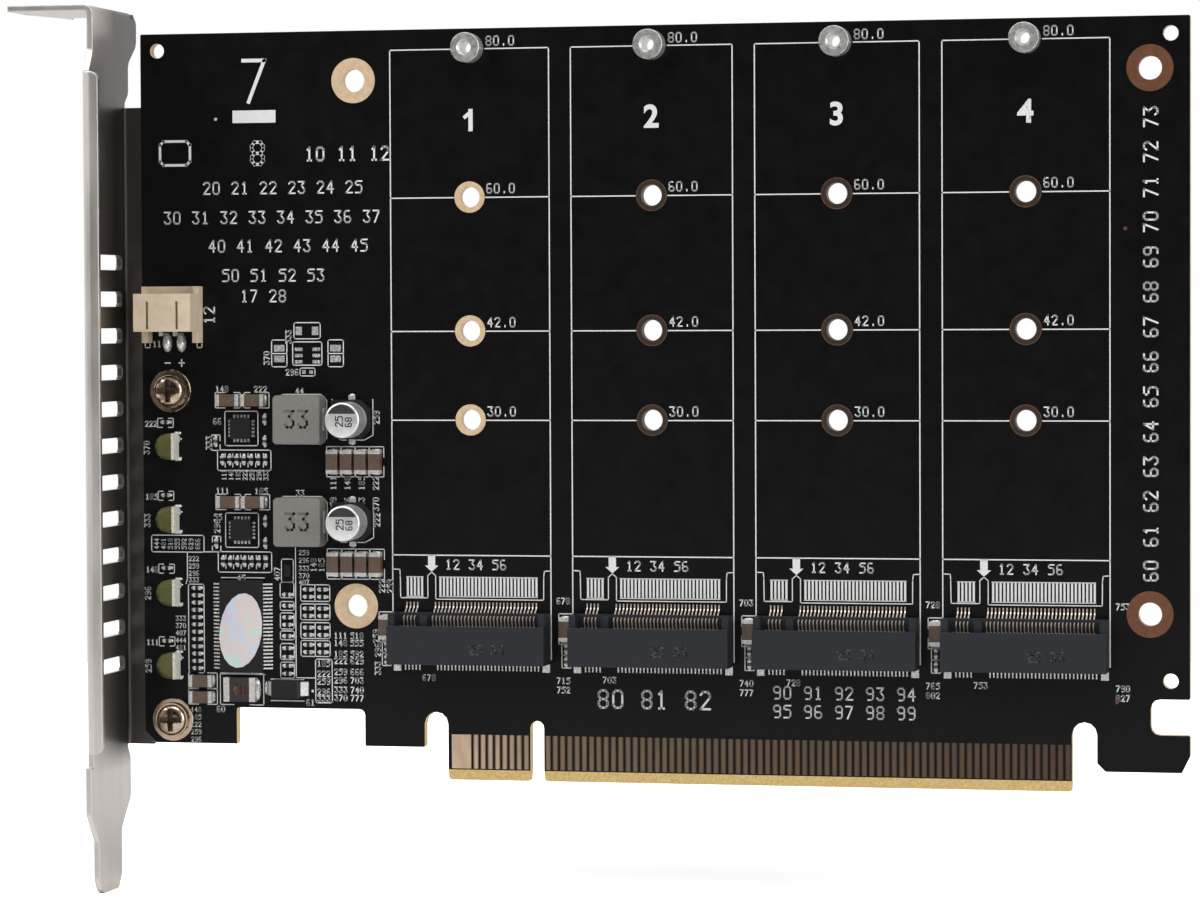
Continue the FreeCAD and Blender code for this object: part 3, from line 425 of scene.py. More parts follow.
SOCKET = finish(
    "socket_plastic", (0.0115, 0.0133, 0.0175), ((0.0105, 0.0122, 0.016), (0.0125, 0.0145, 0.019)), 0.5,
    (0.45, 0.42, 0.5), edge=0.12, shine=0.3)
HEADER = finish(
    "header_plastic", (0.55, 0.445, 0.32), ((0.52, 0.42, 0.3), (0.58, 0.47, 0.34)), 1.2, 0.45,
    edge=0.15)
LENS = finish(
    "led_lens", (0.075, 0.07, 0.018), ((0.068, 0.064, 0.016), (0.085, 0.08, 0.022)), 0.9, 0.3, edge=0.3)
LED_BASE = finish(
    "led_base", (0.52, 0.52, 0.44), ((0.38, 0.38, 0.31), (0.66, 0.66, 0.58)), 0.22, 0.5, edge=0.08)
CAN = finish(
    "aluminium_can", (0.7, 0.7, 0.7), ((0.66, 0.66, 0.65), (0.74, 0.74, 0.73)), 0.5, (0.36, 0.3, 0.4),
    0.75)
MOULDED = finish(
    "black_plastic", (0.0065, 0.0065, 0.007), ((0.0055, 0.0055, 0.006), (0.008, 0.008, 0.0085)), 0.2,
    0.5, edge=0.08, shine=0.25)
FERRITE = finish(
    "pressed_powder", (0.15, 0.138, 0.125), ((0.135, 0.124, 0.112), (0.165, 0.152, 0.138)), 0.16, 0.6,
    edge=0.2, bump=0.008)
FUSE = finish(
    "fuse_laminate", (0.014, 0.011, 0.01), ((0.011, 0.009, 0.008), (0.018, 0.014, 0.013)), 0.3, 0.5,
    edge=0.06)
CERAMIC = finish(
    "capacitor_ceramic", (0.09, 0.058, 0.038), ((0.075, 0.048, 0.031), (0.105, 0.069, 0.046)), 0.3, 0.35,
    edge=0.15)
RESISTOR = finish(
    "resistor_film", (0.01, 0.01, 0.012), ((0.008, 0.008, 0.01), (0.013, 0.013, 0.015)), 0.3, 0.35,
    edge=0.05)
INK_BLACK = finish(
    "black_print", (0.014, 0.014, 0.015), ((0.012, 0.012, 0.013), (0.017, 0.017, 0.018)), 0.3, 0.55)
INK_GREY = finish(
    "grey_print", (0.085, 0.078, 0.07), ((0.077, 0.07, 0.062), (0.092, 0.084, 0.076)), 0.3, 0.6)
INK_FAINT = finish(
    "faint_print", (0.034, 0.036, 0.04), ((0.03, 0.032, 0.036), (0.038, 0.04, 0.044)), 0.3, 0.5)
INK_ORANGE = finish(
    "orange_print", (0.16, 0.045, 0.016), ((0.14, 0.039, 0.013), (0.18, 0.051, 0.02)), 0.3, 0.5)
LABEL = make_label_film()
# painted shade on the bracket's faces that look into the card
dull_inside(NICKEL)
# a dark copy of the screw plating for the faces inside the cross: painted shade in the recess
DRIVE_SHADE = finish(
    "screw_drive_shade", (0.09, 0.065, 0.05), ((0.075, 0.053, 0.04), (0.11, 0.08, 0.062)), 0.4, 0.4, 0.8)
CONTACT_GOLD = finish(
    "contact_gold", (0.42, 0.34, 0.28), ((0.36, 0.29, 0.235), (0.47, 0.385, 0.32)), 0.4, 0.35, 0.5)

FINISHES = {
    MASK: ["circuit_board"],
    PLATING: ["edge_contacts_front", "edge_contacts_back"],
    NICKEL: ["bracket"],
    SCREW: ["bracket_screws"],
    NUT: ["m2_standoffs"],
    SOLDER: ["m2_solder_tabs", "clock_chip_leads"],
    HEADER: ["fan_header_housing"],
    TIN: ["fan_header_pins", "capacitor_terminals", "inductor_terminals", "fuse_terminals",
          "diode_terminals", "ceramic_capacitor_ends"],
    LENS: ["led_lenses"],
    LED_BASE: ["led_bases"],
    CAN: ["capacitor_cans"],
    MOULDED: ["capacitor_bases", "clock_chip_body", "regulator_chips", "diode_body", "ferrite_bead"],
    FERRITE: ["inductor_bodies"],
    LABEL: ["inspection_label"],
    FUSE: ["fuse_body"],
    CERAMIC: ["ceramic_capacitor_bodies", "small_capacitors"],
    RESISTOR: ["chip_resistors"],
    SOCKET: ["m2_housing_%d" % k for k in (1, 2, 3, 4)],
    BRONZE: ["m2_contacts_%d" % k for k in (1, 2, 3, 4)],
}
for material, names in FINISHES.items():
    for name in names:
        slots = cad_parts[name].data.materials
        slots.clear()
        slots.append(material)


# ---------------- building pieces
# strokes of plain numbers; a corner is its column, 0 to 4, and its row, 0 to 6
STROKES = {
    "0": "01 05 16 36 45 41 30 10 01",
    "1": "15 26 20, 10 30",
    "2": "05 16 36 45 44 00 40",
    "3": "06 46 24 42 41 30 10 01",
    "4": "30 36 02 42",
    "5": "46 06 04 34 43 41 30 00",
    "6": "36 16 05 01 10 30 41 42 33 03",
    "7": "06 46 10",
    "8": "13 04 05 16 36 45 44 33 13 02 01 10 30 41 42 33",
    "9": "43 13 04 05 16 36 45 41 30 10",
    "-": "03 43",
    "+": "03 43, 21 25",
    ".": "20 20.7",
    " ": "",
}
# share of its width that a number keeps, and the gap to the next one in rows
NARROW = 0.8
GAP = 2.0
# size and stroke of the smallest tags
SMALL = {"height": 0.6, "width": 0.11}


def circle(sides):
    """Cosine and sine of equal turns."""
    turns = [2 * math.pi * k / sides for k in range(sides)]
    return [(math.cos(turn), math.sin(turn)) for turn in turns]


def band(start, sides):
    """Faces between the ring of points that begins at start and the ring after it."""
    end = start + sides
    return [(start + k, start + (k + 1) % sides, end + (k + 1) % sides, end + k)
            for k in range(sides)]


class Pieces:
    """Gathers faces in millimetres and makes one object of them."""

    def __init__(self):
        self.points = []
        self.faces = []

    def add(self, points, faces):
        base = len(self.points)
        self.points += [tuple(p) for p in points]
        self.faces += [tuple(base + i for i in face) for face in faces]

    def block(self, low, high):
        """An upright box."""
        (x0, y0, z0), (x1, y1, z1) = low, high
        points = [(x, y, z) for x in (x0, x1) for y in (y0, y1) for z in (z0, z1)]
        self.add(points, [(0, 1, 3, 2), (4, 6, 7, 5), (0, 4, 5, 1), (2, 3, 7, 6), (0, 2, 6, 4),
                          (1, 5, 7, 3)])

    def patch(self, x0, x1, z0, z1, lift=INK):
        """A flat field of print on the component side."""
        y = FRONT - lift
        self.add([(x0, y, z0), (x1, y, z0), (x1, y, z1), (x0, y, z1)], [(0, 1, 2, 3)])

    def pad(self, x, z, wide, tall):
        """A bare pad centred on x and z."""
        self.patch(x - wide / 2, x + wide / 2, z - tall / 2, z + tall / 2, FOIL)

    def line(self, start, end, width, lift=INK):
        """A straight printed line between two points in X and Z."""
        a = Vector((start[0], 0, start[1]))
        b = Vector((end[0], 0, end[1]))
        along = (b - a).normalized() * width / 2
        side = Vector((along.z, 0, -along.x))
        y = Vector((0, FRONT - lift, 0))
        self.add([a - along - side + y, a - along + side + y, b + along + side + y,
                  b + along - side + y], [(0, 1, 2, 3)])

    def path(self, points, width=FINE, lift=INK):
        for start, end in zip(points, points[1:]):
            self.line(start, end, width, lift)

    def outline(self, x0, x1, z0, z1, width=FINE, cut=0.18):
        """A printed rectangle with its corners cut by a short slope."""
        points = [(x0 + cut, z0), (x1 - cut, z0), (x1, z0 + cut), (x1, z1 - cut), (x1 - cut, z1),
                  (x0 + cut, z1), (x0, z1 - cut), (x0, z0 + cut), (x0 + cut, z0)]
        self.path(points, width)

    def brackets(self, x0, x1, z0, z1, upright=True, share=0.36):
        """Two facing brackets: a rectangle that is open in the middle of two sides."""
        if upright:
            for z, step in ((z0, 1), (z1, -1)):
                tip = z + step * share * (z1 - z0)
                self.path([(x0, tip), (x0, z), (x1, z), (x1, tip)])
        else:
            for x, step in ((x0, 1), (x1, -1)):
                tip = x + step * share * (x1 - x0)
                self.path([(tip, z0), (x, z0), (x, z1), (tip, z1)])

    def digits(self, text, x, z, height=0.75, turned=False, width=0.15, lift=INK):
        """A plain number centred on x and z, upright or turned to read upwards."""
        unit = height / 6
        step = (4 * NARROW + GAP) * unit
        start = -(len(text) * step - GAP * unit) / 2
        for place, sign in enumerate(text):
            for stroke in STROKES[sign].split(", "):
                points = []
                for corner in stroke.split():
                    across = start + place * step + int(corner[0]) * unit * NARROW
                    rise = float(corner[1:]) * unit - height / 2
                    points.append((x - rise, z + across) if turned else (x + across, z + rise))
                self.path(points, width, lift)

    def tags(self, first, places, **style):
        """Plain three-figure numbers, on from the one called first, at places (x, z)."""
        for number, (x, z) in enumerate(places, start=first):
            self.digits(mark(number), x, z, **style)

    def blob(self, x, z, wide, tall, high):
        """A rounded mound of solder on the board."""
        rings = 3
        sides = 12
        points = []
        faces = []
        for ring in range(rings):
            angle = math.pi / 2 * ring / rings
            share = math.cos(angle)
            y = FRONT - high * math.sin(angle)
            points += [(x + wide / 2 * share * across, y, z + tall / 2 * share * up)
                       for across, up in circle(sides)]
        points.append((x, FRONT - high, z))
        for ring in range(rings - 1):
            faces += band(ring * sides, sides)
        last = (rings - 1) * sides
        faces += [(last + k, last + (k + 1) % sides, rings * sides) for k in range(sides)]
        self.add(points, faces)

    def bar(self, x, way, width, thick):
        """A solid strip along a way of (distance in front of the board, z), thick behind it."""
        points = []
        faces = []
        profile = [(FRONT - out, z) for out, z in way]
        count = len(profile)
        for place, (y, z) in enumerate(profile):
            before = Vector(profile[max(place - 1, 0)])
            after = Vector(profile[min(place + 1, count - 1)])
            along = (after - before).normalized()
            off = Vector((-along.y, along.x)) * thick
            if off.x < 0:
                off = -off
            for side in (-width / 2, width / 2):
                points.append((x + side, y, z))
                points.append((x + side, y + off.x, z + off.y))
        for k in range(count - 1):
            a = 4 * k
            b = a + 4
            faces += [(a, a + 2, b + 2, b), (a + 1, b + 1, b + 3, a + 3), (a, b, b + 1, a + 1),
                      (a + 2, a + 3, b + 3, b + 2)]
        end = 4 * (count - 1)
        faces += [(0, 1, 3, 2), (end, end + 2, end + 3, end + 1)]
        self.add(points, faces)

    def turned(self, x, z, profile, sides=48):
        """A surface turned about an axis along Y; profile lists (radius, y)."""
        points = [(x + radius * across, y, z + radius * up)
                  for radius, y in profile for across, up in circle(sides)]
        faces = []
        for row in range(len(profile) - 1):
            faces += band(row * sides, sides)
        self.add(points, faces)

    def make(self, name, material, slot, smooth=False, replaces=()):
        """The object, riding on the card."""
        mesh = bpy.data.meshes.new(name)
        mesh.from_pydata([tuple(c * MM for c in p) for p in self.points], [], self.faces)
        mesh.validate()
        mesh.materials.append(material)
        if smooth:
            mesh.shade_smooth()
            mesh.set_sharp_from_angle(angle=math.radians(38))
        obj = show(name, mesh)
        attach(obj, "root")
        if replaces:
            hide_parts(*replaces)


# ---------------- plated holes and pads
def plate_hole(bucket, x, z, hole, outer):
    """A ring on both faces of the board and the wall of its hole; both sizes are radii."""
    for face, out in ((FRONT, -FOIL), (BACK, FOIL)):
        bucket.turned(x, z, [(outer, face), (outer, face + out), (hole, face + out)])
    bucket.turned(x, z, [(hole, FRONT - FOIL), (hole, BACK + FOIL)])


def make_rings():
    """Plated rings round the holes: light ones at the bracket's end, brown and dark ones beyond; one
    gold painted light and dark as a painted reflection.
    """
    light, brown, dark, rims = Pieces(), Pieces(), Pieces(), Pieces()
    for x, z in HEAT_HOLES:
        plate_hole(light if x < 0 else brown, x, z, 1.56, 3.05)
    hole = 1.39
    outer = 2.1
    trim = FRONT - FOIL - 0.004
    for x in SLOTS:
        for z in POSITION_HOLES:
            plate_hole(light if x == SLOTS[0] else dark, x, z, hole, outer)
            if x != SLOTS[0]:
                brown.turned(x, z, [(outer, trim), (outer - 0.1, trim)])
                brown.turned(x, z, [(hole + 0.08, trim), (hole, trim)])
    for x, z in TOOLING_HOLES:
        plate_hole(rims, x, z, 1.0, 1.3)
    # test points
    for x, z, radius in ((-44.6, 89.7, 0.22), (79.0, 73.8, 0.25), (77.9, 11.9, 0.25)):
        bucket = light if x < 0 else brown
        bucket.turned(x, z, [(radius, FRONT), (radius, FRONT - FOIL), (0.01, FRONT - FOIL)], 16)
    light.make("plated_rings_light", RING_TAN_LIT, "gold_plating", smooth=True)
    dark.make("plated_rings_dark", RING_DARK_SHADED, "gold_plating", smooth=True)
    rims.make("hole_rims", MASK, "solder_mask", smooth=True)
    brown.make("plated_rings_brown", RING_BROWN_SHADED, "gold_plating", smooth=True)


def make_bare_pads():
    """Tinned pads of the places that carry no part."""
    pads = Pieces()
    for k in range(3):
        for x in (-33.05, -30.55):
            pads.pad(x, 58.325 - 0.85 * k, 1.1, 0.45)
    for x in (-35.8, -27.85):
        for side in (-1, 1):
            pads.pad(x, 57.75 + side * 0.725, 1.5, 0.9)
    for side in (-1, 1):
        pads.pad(-31.86 + side * 1.15, 60.825, 0.9, 1.15)
        pads.pad(-31.82 + side * 0.5, 55.25, 0.5, 0.5)
    pads.make("bare_pads", SOLDER, "tinned_leads")


def make_regulator_pads():
    """Rows of pads that show round the two regulator chips."""
    pads = Pieces()
    wide = 0.3
    deep = 0.44
    reach = 1.65
    for chip in REGULATORS:
        for k in range(5):
            along = -1.0 + 0.5 * k
            for side in (-reach, reach):
                pads.pad(chip.x + along, chip.z + side, wide, deep)
                pads.pad(chip.x + side, chip.z + along, deep, wide)
    pads.make("regulator_pads", SOLDER, "tinned_leads")


# ---------------- legend
def mark(number):
    """A plain three-figure number for a printed tag; it counts nothing."""
    return "%03d" % ((number * 37 + 11) % 900 + 100)


def draw_key(ink, x, key_line):
    """The arrow down to the key of a socket, and the numbers beside it."""
    key = x - 5.55
    ink.patch(key - 0.5, key + 0.5, 29.05, key_line)
    ink.add([(key - 0.95, FRONT - INK, 29.05), (key, FRONT - INK, 28.2),
             (key + 0.95, FRONT - INK, 29.05)], [(0, 1, 2)])
    for side in (-1, 1):
        ink.path([(key + side * 0.52, 27.7), (key, 28.15)])
    ink.digits("12 34 56", x + 0.6, 29.2, 1.25, width=0.18)


def draw_contact_bars(ink, x):
    """The two framed rows of short bars over a socket, either side of its key."""
    ink.path([(x - 10.95, 28.52), (x - 10.0, 28.5), (x - 9.95, 27.7), (x - 9.9, 24.65),
              (x - 6.1, 24.65), (x - 6.1, 27.7)])
    ink.path([(x - 5.0, 27.7), (x - 5.0, 24.5), (x + 9.98, 24.5), (x + 10.0, 27.6),
              (x + 10.1, 28.4), (x + 10.95, 28.45)])
    for start, end in ((x - 9.05, x - 6.75), (x - 4.5, x + 9.12)):
        for z in (24.85, 27.5):
            ink.line((start, z), (end, z), 0.12)
    half = 0.14
    for start, pitch, count, foot in ((-8.9, 0.5, 5, 24.95), (-4.34, 0.494, 28, 24.85)):
        for k in range(count):
            at = x + start + k * pitch
            ink.patch(at - half, at + half, foot, 27.5)


def draw_fields(ink):
    """The four module fields with their lines, contact bars, arrows and sizes."""
    half = 11
    nut = 2.25
    key_line = MODULE_END + 11.7
    lines = [STANDOFF_Z - 0.1] + [hole - 0.05 for hole in POSITION_HOLES]
    heights = [STANDOFF_Z + 0.95] + [hole + 1.15 for hole in POSITION_HOLES]
    for x in SLOTS:
        for side in (x - half, x + half):
            ink.line((side, SOCKET_LOW.z + 0.6), (side, lines[0]), THIN)
        ink.line((x - half, key_line), (x + half, key_line), THIN)
        for z in lines:
            ink.line((x - half, z), (x - nut, z), THIN)
            ink.line((x + nut, z), (x + half, z), THIN)
        for size, z in zip(("80.0", "60.0", "42.0", "30.0"), heights):
            ink.digits(size, x + 4.3, z, 1.2, width=0.17)
        draw_key(ink, x, key_line)
        draw_contact_bars(ink, x)
        ink.digits(mark(round(x)), x - 6.0, 13.85)
        ink.tags(round(x), [(x + 12.67, z) for z in (24.42, 13.68, 12.43)])
    ink.tags(4, ((-22.41, 19.39), (-22.14, 17.49), (-22.16, 15.04)), turned=True)


def draw_regulators(ink):
    """Outlines and tags of the two supply channels, the lower one first."""
    # height of each channel's row of four tags above the middle of its coil
    rows = (5.25, -11.5)
    for number, (chip, coil, can, row) in enumerate(zip(REGULATORS, COILS, CANS, rows)):
        z = coil.z
        ink.outline(chip.x - 2.35, chip.x + 2.35, chip.z - 2.35, chip.z + 2.35)
        ink.outline(coil.x - 3.6, coil.x + 3.45, z - 3.35, z + 3.4, cut=0.8)
        ink.path([(can.x + 2.9, z + 2.7), (can.x + 2.9, z - 2.14), (can.x + 1.67, z - 2.8),
                  (can.x + 0.65, z - 2.8)])
        ink.path([(can.x - 0.85, z - 2.8), (can.x - 1.6, z - 2.8), (can.x - 2.85, z - 2.1),
                  (can.x - 2.85, z + 2.7)])
        ink.digits(mark(number + 3), can.x + 3.4, z + 0.25, turned=True)
        ink.digits(mark(number), -43.98, z + 4.12)
        ink.digits(mark(number + 2), -38.5, z + 4.1)
        ink.digits(("33", "44")[number], coil.x - 0.37, z + 3.85)
        ink.digits(("55", "66")[number], -44.68, z + (0.53, -0.3)[number])
        ink.digits(mark(number + 5), -44.79 - 1.1 * number, z - 0.73 - 2.5 * number, turned=True)
        ink.tags(4 * number, [(-28.3 + 2.0 * k, z + row) for k in range(4)], turned=True)


def draw_channel_chips(ink):
    """Outlines and tags of the rows of small chips between the two channels."""
    ink.tags(0, [(-43.78 + 0.997 * k, 41.2) for k in range(7)], turned=True, **SMALL)
    ink.tags(9, [(-53.5 + 0.983 * k, 31.72) for k in range(7)], turned=True, **SMALL)
    x0 = -44.68
    x1 = -37.08
    for z0, z1 in ((41.8, 44.6), (27.9, 30.7)):
        ink.outline(x0, x1, z0, z1)
        for k in range(1, 7):
            x = x0 + k * (x1 - x0) / 7
            ink.line((x, z0 + 0.5), (x, z0 + 1.0), FINE)
            ink.line((x, z1 - 1.0), (x, z1 - 0.5), FINE)
    ink.outline(-54.2, -46.7, 30.6, 32.9)
    ink.path([(-46.7, 30.65), (-44.7, 30.65)])
    for z in (31.75, 45.6):
        ink.brackets(-45.5, -44.3, z - 1.05, z + 1.05)


def draw_clock_side(ink):
    """The clock chip's lines and the columns of small parts on both its sides."""
    # left of the chip
    ink.outline(-48.98, -46.76, 14.05, 26.21)
    ink.tags(3, [(-48.17, z) for z in (29.7, 28.7, 27.7, 26.8)], **SMALL)
    ink.path([(-49.1, 30.6), (-49.1, 27.0), (-49.3, 26.3)])
    ink.tags(6, [(-50.1, 21.5 - k) for k in range(5)], **SMALL)
    ink.tags(1, [(-48.0, 9.0 - 1.02 * k) for k in range(5)], **SMALL)
    ink.digits("45", -41.43, 27.11)
    clock = middle("clock_chip_body")
    for z in (clock.z + 6.6, clock.z - 6.6):
        ink.path([(clock.x - 3.05, z), (clock.x + 3.05, z)])
    # the bead, and the column right of the chip
    ink.outline(-35.7, -34.02, 26.6, 29.75)
    ink.digits(mark(8), -36.31, 27.73, turned=True)
    for z1, z0 in ((26.58, 24.47), (23.96, 22.75), (22.4, 20.21), (19.94, 18.74), (18.22, 16.03),
                   (15.68, 13.49)):
        ink.outline(-35.9, -33.95, z0, z1)
    ink.path([(-33.7, 31.3), (-33.7, 13.57), (-31.05, 13.57)])
    ink.outline(-30.95, -28.61, 10.2, 16.15)
    ink.tags(2, [(-29.8, z) for z in (15.55, 14.15, 13.1, 11.7, 10.75)])
    ink.tags(4, [(-32.5, z) for z in (30.65, 29.6, 28.5, 27.5, 26.6)], **SMALL)
    for z1, z0 in ((26.28, 24.03), (23.66, 21.5), (21.12, 18.96), (18.67, 16.51)):
        ink.outline(-33.0, -28.88, z0, z1)
        ink.line((-30.98, z0), (-30.98, z1), FINE)
    for first, x in ((0, -27.4), (11, -25.1)):
        ink.tags(first, [(x, z) for z in (19.4, 18.4, 16.9, 15.95, 14.45, 13.3, 12.0, 10.9)])
    ink.tags(1, ((-31.16, 28.97), (-30.03, 28.98), (-21.52, 26.2), (-20.4, 26.2)), turned=True)


def draw_bare_places(ink):
    """Outlines and tags of the places that carry no part."""
    ink.outline(-33.9, -29.77, 56.17, 59.33)
    for x in (-35.8, -27.83):
        ink.outline(x - 1.08, x + 1.08, 55.95, 59.6)
        ink.line((x - 1.08, 57.75), (x + 1.08, 57.75), FINE)
    ink.outline(-33.7, -30.0, 59.75, 61.95)
    ink.outline(-32.88, -30.76, 54.7, 55.78)
    ink.digits(mark(5), -34.0, 55.2)
    ink.tags(6, ((-34.47, 60.03), (-37.57, 57.15)), turned=True)


def draw_lamps(ink):
    """Tags, brackets and the plus and minus signs of the four lamps."""
    for k, lamp in enumerate(LEDS):
        z = lamp.z
        ink.digits(mark(k), -54.16, z + 3.07, 0.7)
        ink.brackets(-53.21, -50.98, z + 2.58, z + 3.82, upright=False, share=0.3)
        ink.digits(mark(k + 4), -54.8, z - 0.2, turned=True)
        ink.line((-50.4, z + 1.0), (-49.85, z + 1.0), 0.2)
        ink.line((-50.13, z + 0.72), (-50.13, z + 1.28), 0.2)
        ink.line((-50.4, z - 1.6), (-49.9, z - 1.6), 0.25)


def draw_power_parts(ink):
    """Signs and outlines of the fan header, the fuse and the diode."""
    ink.digits("12", -45.75, 63.0, 1.5, turned=True, width=0.22)
    ink.digits("11", -53.22, 59.1)
    for x in (-54.56, -47.14):
        ink.outline(x - 0.35, x + 0.35, 58.6, 59.3, cut=0.05)
    ink.digits("-", -51.7, 56.5, 1.3, width=0.18)
    ink.digits("+", -49.7, 56.5, 1.3, width=0.18)
    ink.path([(-42.6, 9.76), (-44.51, 9.76), (-44.51, 14.08), (-38.33, 14.08), (-38.33, 9.76),
              (-40.3, 9.76)])
    ink.digits("60", -44.45, 9.12)
    for z in (13.33, 10.39):
        ink.line((-37.29, z), (-32.63, z), FINE)
    ink.digits("61", -31.71, 10.2)
    ink.patch(-31.55, -31.25, 11.6, 11.95)


def outline_capacitors(ink):
    """Brackets round the ceramic capacitors and round the chips beside the sockets."""
    ends = solid_boxes("ceramic_capacitor_ends")
    for low, high in solid_boxes("ceramic_capacitor_bodies"):
        x0, x1, z0, z1 = low.x, high.x, low.z, high.z
        for a, b in ends:
            if a.x < high.x + 0.1 and b.x > low.x - 0.1 and a.z < high.z + 0.1 and b.z > low.z - 0.1:
                x0, x1, z0, z1 = min(x0, a.x), max(x1, b.x), min(z0, a.z), max(z1, b.z)
        upright = z1 - z0 > x1 - x0
        aside, above = (0.25, 0.45) if upright else (0.45, 0.25)
        ink.brackets(x0 - aside, x1 + aside, z0 - above, z1 + above, upright, 0.34)
    for low, high in solid_boxes("small_capacitors"):
        if low.x > SLOTS[0] - 14 and high.z < 20:
            upright = high.z - low.z > high.x - low.x
            ink.brackets(low.x - 0.38, high.x + 0.38, low.z - 0.35, high.z + 0.35, upright, 0.46)


def draw_words(ink):
    """Rows of plain numbers and bars where a card carries words and symbols."""
    rows = (("20 21 22 23 24 25", -35.2, 80.3), ("30 31 32 33 34 35 36 37", -36.8, 76.3),
            ("40 41 42 43 44 45", -34.5, 72.4), ("50 51 52 53", -36.6, 68.4), ("17 28", -38.0, 65.6))
    for text, x, z in rows:
        ink.digits(text, x, z, 1.55, width=0.2)
    ink.patch(-42.2, -36.1, 89.14, 90.84)
    ink.digits("7", -39.15, 94.8, 5.6, width=0.5)
    ink.outline(-52.57, -48.3, 83.5, 86.75, 0.35, cut=0.5)
    ink.digits("8", -38.7, 85.0, 3.0, width=0.42)
    ink.digits("10 11 12", -26.05, 84.8, 1.75, width=0.26)
    ink.digits(" ".join(str(k) for k in range(60, 74)), 82.3, 58.7, 1.75, turned=True, width=0.24)
    ink.digits("80 81 82", 16.1, 11.3, 2.3, width=0.28)
    for k, text in enumerate(("90 91 92 93 94", "95 96 97 98 99")):
        ink.digits(text, 41.8, 12.5 - 2.5 * k, 1.6, width=0.2)


def make_legend():
    """All the white print of the component side."""
    ink = Pieces()
    for draw in (draw_fields, draw_regulators, draw_channel_chips, draw_clock_side, draw_bare_places,
                 draw_lamps, draw_power_parts, outline_capacitors, draw_words):
        draw(ink)
    ink.make("legend", LEGEND, "led_base")


def make_numerals():
    """The bold numbers of the module fields; the first is a bar with a flag."""
    one = Pieces()
    x = SLOTS[0]
    one.patch(x - 0.1, x + 0.5, 87.6, 90.6)
    one.line((x - 0.55, 89.55), (x + 0.2, 90.15), 0.5, INK + 0.002)
    one.make("field_number_1", LEGEND, "led_base")
    height = 3.05
    # the font's figures fill this part of its size
    font_size = height * 1.37
    bolder = 0.12
    for number, x in enumerate(SLOTS[1:], start=2):
        curve = bpy.data.curves.new("numeral", "FONT")
        curve.body = str(number)
        curve.size = font_size * MM
        curve.offset = bolder * MM
        curve.align_x = "CENTER"
        curve.align_y = "CENTER"
        holder = show("numeral", curve)
        bpy.context.view_layer.update()
        mesh = bpy.data.meshes.new_from_object(holder)
        bpy.data.objects.remove(holder)
        place = Matrix.Translation(Vector((x, FRONT - INK, 89.1)) * MM)
        mesh.transform(place @ Matrix.Rotation(math.radians(90), 4, "X"))
        mesh.name = "field_number_%d" % number
        mesh.materials.clear()
        mesh.materials.append(LEGEND)
        obj = show(mesh.name, mesh)
        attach(obj, "root")


# ---------------- solder and small parts
def cap_chips(caps, mounds, node):
    """Tinned end caps and mounds of solder for chips that are drawn as plain blocks."""
    proud = 0.012
    for low, high in solid_boxes(node):
        upright = high.z - low.z > high.x - low.x
        axis = 2 if upright else 0
        cap = min(0.28, (high[axis] - low[axis]) * 0.27)
        wide = (high.x - low.x) * 0.95 if upright else 0.5
        tall = 0.5 if upright else (high.z - low.z) * 0.95
        for at_low_end in (True, False):
            a = low.copy()
            b = high.copy()
            centre = (low + high) / 2
            if at_low_end:
                b[axis] = low[axis] + cap
                centre[axis] = low[axis] - 0.1
            else:
                a[axis] = high[axis] - cap
                centre[axis] = high[axis] + 0.1
            a -= Vector((proud, proud, proud))
            b += Vector((proud, 0, proud))
            b.y = FRONT
            caps.block(a, b)
            mounds.blob(centre.x, centre.z, wide, tall, (high.y - low.y) * 0.7)


def solder_ends(mounds, node, deep):
    """Solder along both long sides of each tinned end."""
    high_mound = 0.5
    apart = 0.02
    for low, high in solid_boxes(node):
        centre = (low + high) / 2
        if node == "ceramic_capacitor_ends" and high.x - low.x > high.z - low.z:
            for z in (low.z - apart, high.z + apart):
                mounds.blob(centre.x, z, (high.x - low.x) * 0.95, deep, high_mound)
        else:
            for x in (low.x - apart, high.x + apart):
                mounds.blob(x, centre.z, deep, (high.z - low.z) * 0.95, high_mound)


def make_chip_ends():
    """End caps of the plain chips and the mounds of solder of all the small parts."""
    caps, mounds = Pieces(), Pieces()
    cap_chips(caps, mounds, "small_capacitors")
    cap_chips(caps, mounds, "chip_resistors")
    solder_ends(mounds, "ceramic_capacitor_ends", 0.35)
    solder_ends(mounds, "fuse_terminals", 0.55)
    # the pads run on beyond the fuse and the diode
    mounds.blob(-39.2, middle("fuse_body").z, 1.0, 3.0, 0.45)
    mounds.blob(-37.9, middle("diode_body").z, 0.45, 1.9, 0.4)
    for low, high in solid_boxes("led_bases"):
        for z in (low.z, high.z):
            mounds.blob(high.x - 0.35, z, 0.75, 0.5, 0.45)
            mounds.blob(low.x + 0.45, z, 0.75, 0.45, 0.35)
    for node in ("capacitor_terminals", "inductor_terminals"):
        for low, high in solid_boxes(node):
            centre = (low + high) / 2
            for z in (low.z, high.z):
                mounds.blob(centre.x, z, (high.x - low.x) * 0.9, 0.4, 0.25)
    for low, high in solid_boxes("fan_header_pins"):
        mounds.blob((low.x + high.x) / 2, 59.3, 1.35, 2.7, 0.9)
    caps.make("chip_end_caps", TIN, "tinned_leads")
    mounds.make("solder_mounds", SOLDER, "tinned_leads", smooth=True)


def make_standoffs():
    """Round nuts whose bore has a bright slope at its mouth."""
    nuts = Pieces()
    low, high = box_mm("m2_standoffs")
    radius = 2.0
    bore = 0.8
    profile = [(radius, BACK + 0.3), (radius, low.y + 0.12), (radius - 0.1, low.y), (1.12, low.y),
               (bore, low.y + 0.35), (bore, high.y), (radius, high.y)]
    for x in SLOTS:
        nuts.turned(x, STANDOFF_Z, profile, 64)
    nuts.make("standoff_nuts", NUT, "tinned_brass", smooth=True, replaces=("m2_standoffs",))


